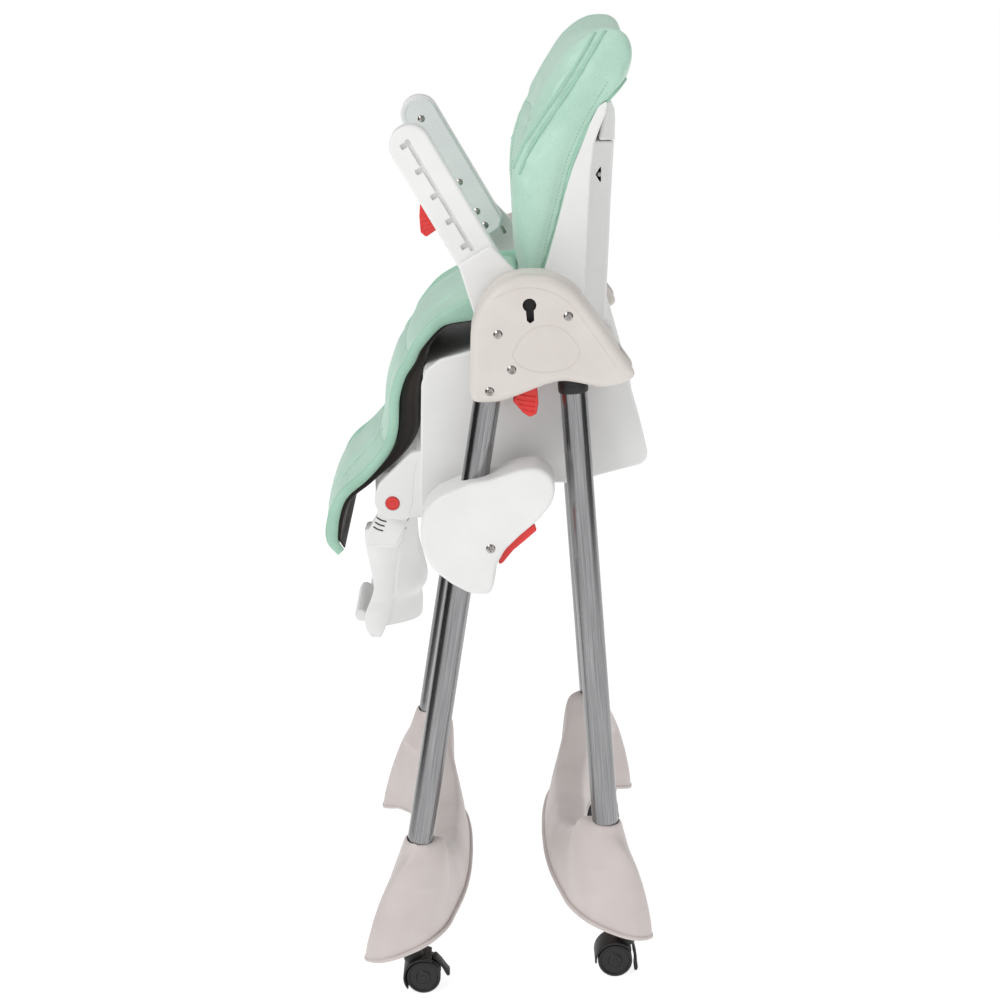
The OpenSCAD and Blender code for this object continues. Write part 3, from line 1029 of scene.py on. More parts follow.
def scattered(name: str, unit_piece: bpy.types.Object, places: np.ndarray, ways: np.ndarray,
              finish: Finish, turn_spread: float = 0.0, seed: int = 7) -> bpy.types.Object:
    """Sets copies of a small piece on points, with a Geometry Nodes tree.

    Args:
        name: The piece's name.
        unit_piece: The piece that is repeated, drawn in row metres at the origin, pointing at +Z.
        places: Where the copies go, in side-view millimetres.
        ways: Where each copy's +Z points, in side-view directions.
        finish: The finish of all of them.
        turn_spread: How far each copy may be turned about its own +Z, in radians.
        seed: Seed of those turns.

    Returns:
        One mesh piece with all the copies.
    """
    mesh = bpy.data.meshes.new(name)
    mesh.from_pydata(VIEW.rows(places).tolist(), [], [])
    layer = mesh.attributes.new("way", "FLOAT_VECTOR", "POINT")
    turn = VIEW.turn().to_3x3()
    for item, way in zip(layer.data, ways):
        item.vector = turn @ Vector(way)
    carrier = bpy.data.objects.new(name, mesh)
    bpy.context.scene.collection.objects.link(carrier)

    tree, inputs, copied = copying_tree(
        name + "_scatter", {"Turn spread": "NodeSocketFloat", "Seed": "NodeSocketInt"})
    way_field = add_node(tree, "GeometryNodeInputNamedAttribute", {"Name": "way"},
                         data_type="FLOAT_VECTOR")
    aim = add_node(tree, "FunctionNodeAlignRotationToVector",
                   links={"Vector": way_field.outputs["Attribute"]}, axis="Z")
    spread = add_node(tree, "FunctionNodeRandomValue", {2: 0.0},
                      {3: inputs["Turn spread"], "Seed": inputs["Seed"]}, data_type="FLOAT")
    about = add_node(tree, "ShaderNodeCombineXYZ", links={"Z": spread.outputs[1]})
    turned_way = add_node(tree, "FunctionNodeRotateRotation",
                          links={"Rotation": aim.outputs["Rotation"],
                                 "Rotate By": about.outputs["Vector"]}, rotation_space="LOCAL")
    return copies_made(carrier, tree, inputs,
                       {"Points": inputs["Geometry"], "Instance": copied,
                        "Rotation": turned_way.outputs["Rotation"]},
                       {"Copied": unit_piece, "Turn spread": turn_spread, "Seed": seed,
                        "Finish": finish_of(finish)})


def unit_mesh(name: str, profile: Sequence[Point], segments: int = 32) -> bpy.types.Object:
    """A turned piece that stands on the origin, for copying.

    Args:
        name: The piece's name.
        profile: Heights and radii in millimetres.
        segments: How many steps go round.

    Returns:
        The piece.
    """
    points, faces = [], []
    for k in range(segments):
        a = 2 * math.pi * k / segments
        points += [(r * math.cos(a) * MM, r * math.sin(a) * MM, s * MM) for s, r in profile]
    count = len(profile)
    for k in range(segments):
        m = (k + 1) % segments
        faces += [(k * count + j, m * count + j, m * count + j + 1, k * count + j + 1)
                  for j in range(count - 1)]
    mesh = bpy.data.meshes.new(name)
    mesh.from_pydata(points, [], faces)
    piece = bpy.data.objects.new(name, mesh)
    bpy.context.scene.collection.objects.link(piece)
    tidy_mesh(mesh)
    return piece


def block(name: str, size: tuple[float, float, float], centre: tuple[float, float, float],
          turn: float = 0.0) -> bpy.types.Object:
    """A plain block near the origin, used as a cutter.

    Args:
        name: The piece's name.
        size: Its size in millimetres.
        centre: Its middle in millimetres.
        turn: Its turn about Z, in degrees.

    Returns:
        The block.
    """
    work = bmesh.new()
    bmesh.ops.create_cube(work, size=1.0)
    bmesh.ops.scale(work, vec=[s * MM for s in size], verts=work.verts)
    bmesh.ops.translate(work, vec=[c * MM for c in centre], verts=work.verts)
    bmesh.ops.rotate(work, matrix=Matrix.Rotation(math.radians(turn), 3, "Z"), verts=work.verts)
    mesh = bpy.data.meshes.new(name)
    work.to_mesh(mesh)
    work.free()
    piece = bpy.data.objects.new(name, mesh)
    bpy.context.scene.collection.objects.link(piece)
    return piece


def screw_head(radius: float, height: float) -> bpy.types.Object:
    """A domed cross-head screw standing on the origin.

    Args:
        radius: Radius of its head.
        height: Height of the dome.

    Returns:
        The head, pointing at +Z.
    """
    sphere = (radius**2 + height**2) / (2 * height)
    profile: list[Point] = [(-1.0, 0.0), (-1.0, radius)]
    for a in np.linspace(0, 1, 9):
        r = radius * (1 - a)
        profile.append((math.sqrt(sphere**2 - r**2) - sphere + height, r))
    head = unit_mesh("head", profile)
    width, depth = radius * 0.3, height * 1.1
    arms = [block("arm", (radius * 1.15, width, depth), (0, 0, height - depth / 4), turn)
            for turn in (0, 90)]
    head.data.materials.append(finish_of(ZINC))
    return cut(head, arms, 30.0)


def stitched(name: str, path: np.ndarray, radius: float = 0.35, length: float = 3.0,
             pitch: float = 4.2) -> bpy.types.Object:
    """A row of stitches along a path, made with a Geometry Nodes tree.

    Args:
        name: The piece's name.
        path: The seam's path of side-view points.
        radius: Radius of the thread.
        length: Length of one stitch.
        pitch: Distance from one stitch to the next.

    Returns:
        One mesh piece with all the stitches.
    """
    mesh = bpy.data.meshes.new(name)
    mesh.from_pydata(VIEW.rows(path).tolist(), [(i, i + 1) for i in range(len(path) - 1)], [])
    carrier = bpy.data.objects.new(name, mesh)
    bpy.context.scene.collection.objects.link(carrier)
    stitch = unit_mesh("stitch", [(-length / 2, 0), (-length / 2 + radius, radius),
                                  (length / 2 - radius, radius), (length / 2, 0)], 8)

    tree, inputs, copied = copying_tree(name + "_stitches", {"Pitch": "NodeSocketFloat"})
    curve = add_node(tree, "GeometryNodeMeshToCurve", links={"Mesh": inputs["Geometry"]})
    points = add_node(tree, "GeometryNodeCurveToPoints",
                      links={"Curve": curve.outputs["Curve"], "Length": inputs["Pitch"]}, mode="LENGTH")
    aim = add_node(tree, "FunctionNodeAlignRotationToVector",
                   links={"Vector": points.outputs["Tangent"]}, axis="Z")
    return copies_made(carrier, tree, inputs,
                       {"Points": points.outputs["Points"], "Instance": copied,
                        "Rotation": aim.outputs["Rotation"]},
                       {"Copied": stitch, "Pitch": pitch * MM, "Finish": finish_of(THREAD)}, 180.0)


# ---------------------------------------------------------------- the frame


@dataclass
class Tubes:
    """The four leg tubes, and the black rings at the top of the rear pair."""

    radius: float = 15.0
    front_reach: tuple[float, float] = (-60.0, 565.0)
    rear_reach: tuple[float, float] = (30.0, 640.0)

    def build(self) -> None:
        """Builds the tubes and their rings."""
        r = self.radius
        for side in Side:
            for end, (low, high) in ((End.FRONT, self.front_reach), (End.REAR, self.rear_reach)):
                node = f"{end.word}_tube_{side.word}"
                profile = [(low, r - 1.2), (low, r - 0.2), (low + 0.3, r)]
                profile += [(s, r) for s in np.linspace(low + 20, high - 0.3, 12)]
                profile += [(high, r - 0.2), (high, r - 1.2), (low, r - 1.2)]
                tube = turned_piece(f"{node}_brushed", *VIEW.leg(end), profile, BRUSHED_STEEL, side, 72,
                                    uv=True)
                placed(tube, f"{end.word}_frame", "steel_tube", node)
        profile = [(72, r + 0.02), (72, r + 0.9), (72.8, r + 1.6), (82, r + 1.8), (89, r + 1.6),
                   (90, r + 1.0), (90, r + 0.02), (72, r + 0.02)]
        rings = [turned_piece("ring", *VIEW.leg(End.REAR), profile, BLACK_NYLON, side) for side in Side]
        placed(joined("rear_tube_rings_turned", rings), "rear_frame", "black_plastic", "rear_tube_rings")


@dataclass
class Foot:
    """One bow-shaped foot with a boot at each end that the tubes stand in.

    It's drawn in its own plane: X across, v towards the toes, w up off the floor.
    """

    end: End
    toe: Point
    pitch: float
    tip: float
    collar: tuple[float, float]
    rim: float = 8.0
    wall: float = 8.5
    bow: tuple[tuple[float, float, float], ...] = (
        (0.0, 0.0, -54.0), (0.2, 50.0, -52.5), (0.4, 105.0, -47.5), (0.6, 163.0, -34.5),
        (0.75, 203.0, -17.0), (0.85, 224.0, 2.0), (0.93, 233.5, 24.0), (1.0, 232.0, 47.0))
    half: tuple[Point, ...] = ((0, 26), (0.45, 26), (0.6, 27), (0.72, 30.5), (0.8, 30), (0.88, 25.5),
                               (0.94, 20), (0.98, 12), (1, 5))
    top: tuple[Point, ...] = ((0, 56), (0.3, 60), (0.5, 76), (0.64, 100), (0.75, 118), (0.84, 122),
                              (0.9, 114), (0.95, 90), (0.985, 52), (1, 18))
    lean: tuple[Point, ...] = ((0, 0.2), (0.6, 0.6), (0.78, 1.0), (1, 1.0))

    def place(self, flat: np.ndarray) -> np.ndarray:
        """Stands the foot's points up in the side view.

        Args:
            flat: Foot-plane points.

        Returns:
            Side-view points.
        """
        a = math.radians(self.pitch)
        way = -1.0 if self.end is End.FRONT else 1.0
        y, z = way * flat[:, 1], flat[:, 2]
        return np.stack([flat[:, 0], self.toe[0] + y * math.cos(a) - z * math.sin(a),
                         self.toe[1] + y * math.sin(a) + z * math.cos(a)], axis=1)

    def centre(self, t: float) -> np.ndarray:
        """The bow's middle line."""
        rows = np.array(self.bow)
        x = eased(abs(t), rows[:, [0, 1]])[0] * (1 if t >= 0 else -1)
        return np.array([x, eased(abs(t), rows[:, [0, 2]])[0]])

    def section(self, t: float, skin: float = 0.0) -> np.ndarray:
        """The foot's cross-section: a flared rim, a tall wall and a domed top.

        Args:
            t: Place along the bow, -1 at one toe to 1 at the other.
            skin: How far inside the outer surface it runs.

        Returns:
            Foot-plane points round the section.
        """
        e = 0.01
        along = unit(self.centre(t + e) - self.centre(t - e)) if abs(t) < 0.99 else \
            unit(self.centre(t) - self.centre(t - e * np.sign(t))) * np.sign(t)
        out = np.array([along[1], -along[0]])
        # The inner skin keeps its distance along the bow too, which is about 240 mm from middle to toe.
        near = np.clip(abs(t) + np.array([-1, 0, 1]) * skin / 240, 0.0, 1.0)
        half = max(0.3, eased(near, self.half).min() - skin)
        top = max(self.rim + 2.0, eased(near, self.top).min() - skin)
        slope = math.tan(math.radians(self.tip)) * eased(abs(t), self.lean)[0]
        shape = [(1.0, 0.0), (1.02, 1.0), (1.02, self.rim), (0.985, self.rim + 1.2),
                 (0.965, top * 0.3), (0.92, top * 0.52), (0.85, top * 0.72), (0.76, top * 0.86),
                 (0.64, top * 0.95), (0.45, top * 0.99), (0.2, top), (0.0, top)]
        ring = shape + [(-q, w) for q, w in reversed(shape[:-1])]
        points = []
        for q, w in ring:
            w = min(w, top)
            flat = self.centre(t) + out * q * half
            points.append((flat[0], flat[1] - slope * w, w))
        return np.array(points)

    def build(self) -> bpy.types.Object:
        """Builds the foot and its collars.

        Returns:
            The foot.
        """
        t = np.sin(np.linspace(-math.pi / 2, math.pi / 2, 81)) * 0.999
        t = 0.55 * t + 0.45 * np.linspace(-0.999, 0.999, 81)
        rings = [self.section(v) for v in t]
        skin = [self.section(v, self.wall) for v in t]
        parts = [solid("bow", self.place(np.vstack(rings + skin)), sheet_faces(len(t), len(rings[0])),
                       PEARL_FOOT, sharp=50.0)]
        low, high = self.collar
        bell = [(low, 15.4), (low, 17.4), (low + 1.2, 18.2), (low + 14, 20.6), (low + 30, 23.6),
                (low + 48, 27.0), (high, 29.0), (high, 15.4), (low, 15.4)]
        parts += [turned_piece("collar", *VIEW.leg(self.end), bell, PEARL_FOOT, side) for side in Side]
        foot = joined("fused", parts, 50.0)
        remesh = foot.modifiers.new("fuse", "REMESH")
        remesh.mode = "VOXEL"
        remesh.voxel_size = 2.8 * MM
        soften = foot.modifiers.new("soften", "SMOOTH")
        soften.factor = 0.5
        soften.iterations = 12
        applied(foot)
        foot.data.materials.clear()
        foot.data.materials.append(finish_of(PEARL_FOOT))
        near = [ring[2] for ring in rings]
        far = [ring[-3] for ring in reversed(rings)]
        lip = respaced(np.array(near + far), 5.0)
        lip[:, 2] = 3.4
        band = piped("lip", self.place(lip), 2.6, PEARL_FOOT, closed=True, segments=10)
        return joined(f"{self.end.word}_foot_moulded", [foot, band], 60.0)


@dataclass
class Hubs:
    """The hub housings at the top of the frame, with their keyholes, screws and levers."""

    outline: tuple[Point, ...] = (
        (-67, 723), (-65.5, 795), (-55, 822), (-37, 843.5), (-12, 853), (18, 853), (47, 838), (74, 803),
        (116, 744), (99, 734), (75, 730), (53, 735), (34, 738), (15, 733), (-12, 722), (-34, 714),
        (-53, 713), (-63, 715))
    seam: float = 224.0
    edge: float = 14.0
    screws: tuple[Point, ...] = ((-36, 790), (-45, 727), (-21, 751))
    mouth_shape: tuple[Point, ...] = ((20, 770), (20, 700), (140, 700), (112, 752), (76, 797), (30, 797))

    def mouth(self) -> bpy.types.Object:
        """The opening below the hub where the folded rear tube comes out."""
        return slab("mouth", list(self.mouth_shape), 203, 238, PEARL_HUB, 0.2, 0.2, 3)

    def lever_mouth(self) -> bpy.types.Object:
        """The opening that the fold lever reaches through."""
        return slab("lever_mouth", [(-30, 760), (-30, 690), (14, 690), (14, 760)],
                    211, 242, PEARL_HUB, 0.2, 0.2, 3)

    def keyhole(self) -> bpy.types.Object:
        """Makes the keyhole of the tray mount: a round hole with a slot that runs down and back.

        Returns:
            The cutter.
        """
        ring = arc((-2, 822), 7.5, 0, 360, 48)[:-1]
        slot = [(-6.2, 820), (-4.8, 805), (-1.2, 801.8), (3.2, 805), (2.6, 820)]
        hole = slab("hole", ring, 243, 256, PEARL_HUB, 0.1, 0.1, 0, pitch=1.0)
        return cut(hole, [slab("slot", slot, 243, 256, PEARL_HUB, 0.1, 0.1, 0.8, pitch=1.0)],
                   operation="UNION")

    def housing(self, side: Side) -> None:
        """Builds both halves of one hub, and a black piece inside them: painted shade for the hollow
        that the openings show.

        Args:
            side: Which hub.
        """
        outer = slab("outer", list(self.outline), self.seam + 0.25, 252, PEARL_HUB, 0.6, self.edge, 40,
                     pitch=2.4)
        hollow = slab("hollow", inset_outline(self.outline, 3.0), 200, 249, PEARL_HUB, 0.2, 12, 7,
                      pitch=3.0)
        outer = cut(outer, [hollow, self.mouth(), self.lever_mouth(), self.keyhole()], 32)
        outer = joined("housing", [outer, *self.embossing(outer)], 32)
        inner = slab("inner", list(self.outline), 190, self.seam - 0.25, PEARL_HUB, 7, 0.6, 40,
                     pitch=2.4)
        inside = slab("inside", inset_outline(self.outline, 3.0), 193, 240, PEARL_HUB, 5, 0.2, 7)
        inner = cut(inner, [inside, self.mouth(), self.lever_mouth()], 32)
        for piece, word in ((outer, "outer"), (inner, "inner")):
            name = f"hub_{word}_{side.word}"
            if side is Side.RIGHT:
                mirror(piece)
            placed(renamed(piece, f"{name}_moulded"), "front_frame", "hub_plastic", name)
        # Painted shade: a black piece fills the hollow inside the housing, so that the mouth, the lever
        # opening and the keyhole show black where the hollow is only in shade.
        dark = slab(f"hub_dark_{side.word}", inset_outline(self.outline, 6.0), 226, 243.5, BLACK_NYLON,
                    0.5, 0.5, 6, side=side, pitch=4)
        cutters = [slab("tube_room", list(self.mouth_shape), 203, 240, BLACK_NYLON, 0.2, 0.2, 3,
                        side=side),
                   slab("lever_room", [(-75, 766), (-75, 690), (14, 690), (14, 766)], 205, 244.5,
                        BLACK_NYLON, 0.2, 0.2, 3, side=side)]
        placed(cut(dark, cutters), "front_frame", "black_plastic")

    def embossing(self, housing: bpy.types.Object) -> list[bpy.types.Object]:
        """Fine raised lines on the outer face: the bevel's edge and the round boss.

        Args:
            housing: The housing that they lie on.

        Returns:
            The lines.
        """
        lines = []
        for path in (((-44, 828), (-14, 840), (14, 838.5), (42, 823), (68, 788), (92, 754)),
                     ((-21, 768), (-9, 788), (10, 799), (31, 797), (48, 781), (52, 766), (38, 752),
                      (10, 748), (-12, 755), (-21, 768))):
            points = smooth_path([(270, y, z) for y, z in path], 2.0)
            points = draped(housing, points, (-1, 0, 0), 0.0)
            lines.append(piped("line", points, 0.55, PEARL_HUB, segments=6))
        return lines

    def build(self) -> None:
        """Builds both hubs, their screws, bolts and levers."""
        places: list[tuple[float, float, float]] = []
        bolts: list[tuple[float, float, float]] = []
        for side in Side:
            self.housing(side)
            places += [(side.value * 252.0, y, z) for y, z in self.screws]
            bolts.append((side.value * 252.0, *VIEW.pivot))
        ways = np.array([(np.sign(p[0]), 0, 0) for p in places + bolts], float)
        screws = scattered("hub_screws_cross_head", screw_head(5.0, 2.0), np.array(places),
                           ways[: len(places)], ZINC, 3.0)
        placed(screws, "front_frame", "zinc_screw", "hub_screws")
        heads = scattered("rear_pivot_bolt_heads", screw_head(5.2, 2.0), np.array(bolts),
                          ways[len(places):], ZINC, 3.0, 3)
        placed(heads, "front_frame", "zinc_screw", "rear_pivot_bolts")
        for side in Side:
            self.lever(side)

    def lever(self, side: Side) -> None:
        """Builds one red fold lever with grip grooves across its tongue.

        Args:
            side: Which lever.
        """
        tongue = arc((-4, 745), 8, 150, 30, 8) + [(7, 727), (8.5, 711), (6.5, 698.5), (-1, 695),
                                                  (-8.5, 700), (-20, 713), (-14, 727)]
        lever = slab(f"fold_lever_{side.word}_ribbed", tongue, 214, 239, RED_ABS, 1.5, 2.5, 3,
                     side=side, pitch=1.6)
        x = 239.2 * side.value
        grooves = [piped("groove", np.array([(x, low, z + 1.5), (x, high, z - 1.5)]), 1.3, RED_ABS)
                   for low, high, z in ((-13.5, 5.5, 720), (-15.5, 4.5, 714.4), (-13, 4.5, 708.8),
                                        (-9, 4, 703.2))]
        node = f"fold_lever_{side.word}"
        placed(cut(lever, grooves, 30), node, "red_plastic", node)


def inset_outline(outline: Sequence[Point], depth: float) -> Outline:
    """Moves an outline inwards, with its corners kept.

    Args:
        outline: The closed outline.
        depth: How far it moves, in millimetres.

    Returns:
        The smaller outline.
    """
    p = np.array(outline, float)
    if area(p) < 0:
        p = p[::-1]
    moved = []
    for i in range(len(p)):
        a, b = unit(p[i] - p[i - 1]), unit(p[(i + 1) % len(p)] - p[i])
        m = unit(np.array([-(a[1] + b[1]), a[0] + b[0]]))
        k = max(0.6, float(m @ np.array([-a[1], a[0]])))
        moved.append(tuple(p[i] + depth / k * m))
    return moved


def mirror(piece: bpy.types.Object) -> bpy.types.Object:
    """Mirrors a piece's mesh across the middle of the chair."""
    piece.data.transform(Matrix.Scale(-1, 4, (1, 0, 0)))
    piece.data.flip_normals()
    return piece


# ---------------------------------------------------------------- casters


@dataclass
class Caster:
    """A twin-wheel caster: hood, wheels and brake tab."""

    end: End
    side: Side
    across: float = 228.0
    mount: Point = (0.0, 0.0)
    pitch: float = 0.0
    wheel: float = 20.0
    drop: float = 34.0
    trail: float = 6.0

    def __post_init__(self) -> None:
        """Works out where the caster hangs."""
        if self.end is End.FRONT:
            self.mount, self.pitch = (-137.8, 57.2), 15.4
        else:
            self.mount, self.pitch = VIEW.lengthened(113.4, 95.4), -14.6

    def spot(self, y: float, z: float) -> Point:
        """A point of the caster's own plane, measured from its axle, in the side view."""
        y, z = turned((y + self.end.value * self.trail, z - self.drop), self.pitch)
        return self.mount[0] + y, self.mount[1] + z

    def bow(self, radius: float, angles: Sequence[float]) -> Outline:
        """Points round the axle, angles in degrees."""
        return [self.spot(radius * math.cos(math.radians(a)), radius * math.sin(math.radians(a)))
                for a in angles]

    def build(self) -> None:
        """Builds the hood, the wheels and the brake."""
        tag = f"{self.end.word}_{self.side.word}"
        axle = self.spot(0, 0)
        up = turned((0, 1), self.pitch)
        angles = np.linspace(202, 50, 26)
        hoop = self.bow(self.wheel + 3.6, angles) + self.bow(self.wheel + 1.3, angles[::-1])
        x = self.across
        fender = slab("fender", hoop, x - 19, x + 19, BLACK_NYLON, 1.1, 1.1, 0.8, pitch=1.8)
        web = self.bow(self.wheel + 2, np.linspace(198, 52, 22)) + [self.spot(9, -6), self.spot(-9, -6)]
        plate = slab("web", web, x - 3.4, x + 3.4, BLACK_NYLON, 0.4, 0.4, 2, pitch=2.0)
        base = (x, *self.mount)
        way = (0, up[0], up[1])
        stem = turned_piece("stem", base, way, [(-12, 0), (-12, 5.45), (22, 5.45), (23, 4.5), (23, 0)],
                            BLACK_NYLON)
        collar = turned_piece("collar", base, way, [(-12.5, 0), (-12.5, 12), (-8, 11.6), (-3, 11),
                                                    (-1.4, 10.4), (-1, 9.5), (-1, 0)], BLACK_NYLON)
        pin = peg((x - 17.6, *axle), 2.9, 35.2, BLACK_NYLON)
        hood = joined(f"{tag}_hood_moulded", [fender, plate, stem, collar, pin], 40)
        tread = [(0, 3.15), (0, 12.5), (0.6, 13), (0.6, 16.5), (0, 17), (0, 18.6), (0.5, 19.5),
                 (1.6, 20), (11.2, 20), (12.4, 19.5), (13, 18.4), (13, 17), (11.6, 16),
                 (11.2, 13), (11.6, 8.5), (13, 7), (13, 3.15), (0, 3.15)]
        wheels = [turned_piece("wheel", (x + hand * 4.5, *axle), (hand, 0, 0), tread, BLACK_NYLON,
                               segments=72) for hand in (1, -1)]
        pair = joined(f"{tag}_wheels_turned", wheels, 35)
        tab = [self.spot(y, z) for y, z in
               ((16.0, 17.5), (20.0, 17.0), (24.0, 9.0), (26.8, 1.0), (29.8, -6.0), (29.4, -9.4),
                (26.4, -10.2), (24.6, -6.0), (23.6, 0.0), (21.0, 8.0), (17.6, 14.0))]
        brake = slab(f"{tag}_brake_moulded", tab, x - 8, x + 8, BLACK_NYLON, 1.2, 1.2, 1.2, pitch=1.4)
        for piece, body, node in ((hood, "swivel", "hood"), (pair, "wheels", "wheels"),
                                  (brake, "brake", "brake")):
            if self.side is Side.RIGHT:
                mirror(piece)
            placed(piece, f"{tag}_{body}", "black_plastic", f"{tag}_{node}")


# ---------------------------------------------------------------- seat, arms and back


@dataclass
class SeatShell:
    """The white moulded seat: two deep sides, the walls between them and the height sliders."""

    half: float = 175.0
    side_outline: tuple[Point, ...] = (
        (-125, 567), (-124, 607), (-122, 717), (-117, 734), (-101, 746), (-69, 755), (-42, 762),
        (-38, 800), (-28, 813), (-12, 812), (-3, 797), (10, 799), (33, 804.6), (63, 801), (91, 787),
        (109, 729), (124, 677), (136, 628), (79, 613), (51, 604), (-8, 604), (-8, 567))
    bracket: tuple[Point, ...] = ((-118, 641), (-135, 636), (-171, 600), (-176, 588), (-176.5, 577),
                                  (-172, 567), (-162, 560), (-146, 558), (-134, 561), (-118, 561))
    slider: tuple[Point, ...] = (
        (-122, 571), (-118, 594), (-100, 610), (-67, 624), (-45, 628), (-12, 640), (8, 642.5), (23, 633),
        (28, 617), (23, 600), (10, 583), (-12, 564), (-28, 548), (-37, 531), (-40, 508), (-45, 496),
        (-67, 497), (-87, 508), (-109, 525), (-120, 548))

    def bore(self, radius: float, low: float, high: float) -> bpy.types.Object:
        """A cutter along the left front tube, from one distance below its top to another."""
        return turned_piece("bore", *VIEW.leg(End.FRONT),
                            [(low, 0), (low, radius), (high, radius), (high, 0)], WHITE_PP)

    def shell(self) -> None:
        """Builds the shell as one white piece."""
        parts = []
        for side in Side:
            wing = slab("wing", list(self.side_outline), 165, self.half, WHITE_PP, 1.2, 3.4, 16,
                        pitch=3.0)
            bracket = slab("bracket", list(self.bracket), 151.5, 167, WHITE_PP, 1.2, 1.6, 7, pitch=2.4)
            slit = piped("slit", smooth_path([(167.2, -128, 628), (167.2, -131, 606), (167.2, -133, 580),
                                              (167.2, -137, 566)], 2.0), 0.8, WHITE_PP, segments=6)
            well = turned_piece("well", (160, -156, 578), (1, 0, 0),
                                [(0, 0), (0, 8.3), (7, 8.3), (7.6, 9.2), (9, 9.2), (9, 0)], WHITE_PP)
            bracket = cut(bracket, [slit, well], 30)
            rail = slab("rail", [(-92, 549), (-8, 567), (-8, 604), (-92, 588)], 172, 202, WHITE_PP,
                        1, 1, 5)
            rail = cut(rail, [self.bore(16.2, 40, 220)], 30)
            boss = turned_piece("boss", (170, -21, 797), (1, 0, 0),
                                [(0, 0), (0, 7.9), (17, 7.9), (18, 7), (18, 0)], WHITE_PP)
            post = peg((151, 42, 735), 5.9, 16)
            for piece in (wing, bracket, rail, boss, post):
                if side is Side.RIGHT:
                    mirror(piece)
                parts.append(piece)
        for name, a, b in (("front", (-120, 567), (-117, 730)), ("top", (-119, 729), (-8, 759)),
                           ("rear", (132.5, 631), (119, 690))):
            way = unit(np.array(b, float) - np.array(a, float))
            lift = np.array([-way[1], way[0]]) * 3.0
            strip = [a, b, tuple(np.array(b) + lift), tuple(np.array(a) + lift)]
            parts.append(slab(name, strip, -166, 166, WHITE_PP, 0.5, 0.5, 0.8, pitch=4))
        placed(joined("seat_shell_moulded", parts), "seat", "white_plastic", "seat_shell")

    def sliders(self) -> None:
        """Builds the bean-shaped height sliders on the front tubes, with their triggers."""
        places = []
        for side in Side:
            shape = list(self.slider)
            outer = slab("slider", shape, 196, 256, WHITE_PP, 3, 8, 30, pitch=2.4)
            hollow = slab("hollow", inset_outline(shape, 3), 190, 253, WHITE_PP, 0.5, 6, 6, pitch=3)
            mouth = slab("mouth", [(14, 578), (-2, 590), (-26, 570), (-45, 546), (-40, 524), (-30, 528)],
                         238.4, 250, WHITE_PP, 0.3, 0.3, 2)
            outer = cut(outer, [hollow, mouth, self.bore(15.25, 20, 300)], 32)
            core = slab(f"slider_core_{side.word}", inset_outline(shape, 4.5), 200, 238, WHITE_PP, 1, 1,
                        5, pitch=4)
            core = cut(core, [self.bore(15.2, 20, 300)], 32)
            if side is Side.RIGHT:
                mirror(outer)
                mirror(core)
            placed(renamed(outer, f"slider_{side.word}_moulded"), "seat", "white_plastic",
                   f"slider_{side.word}")
            placed(core, "seat", "white_plastic")
            trigger = slab(f"height_trigger_{side.word}_moulded",
                           [(4, 577), (7, 569), (-4, 559), (-19, 546), (-30, 532), (-34.5, 529.5),
                            (-37, 541), (-22, 556), (-8, 569)], 239, 249.5, RED_ABS, 1.2, 2.2, 2,
                           side=side, pitch=1.4)
            placed(trigger, f"height_trigger_{side.word}", "red_plastic", f"height_trigger_{side.word}")
            places.append((side.value * 256.0, -44, 550))
        ways = np.array([(np.sign(p[0]), 0, 0) for p in places], float)
        screws = scattered("slider_screws_cross_head", screw_head(5.2, 2.0), np.array(places), ways,
                           ZINC, 3.0, 5)
        placed(screws, "seat", "zinc_screw", "slider_screws")

    def build(self) -> None:
        """Builds the shell, the sliders and the leg-rest buttons."""
        self.shell()
        self.sliders()
        for side in Side:
            button = turned_piece(f"leg_rest_button_{side.word}_turned", (162.5, -156, 578), (1, 0, 0),
                                  [(0, 0), (0, 7.9), (4.6, 7.9), (5.6, 7.5), (6.1, 6.6), (6.0, 5.6),
                                   (5.7, 5.0), (5.9, 4.0), (6.3, 2.0), (6.4, 0)], RED_ABS, side)
            placed(button, f"leg_rest_button_{side.word}", "red_plastic", f"leg_rest_button_{side.word}")


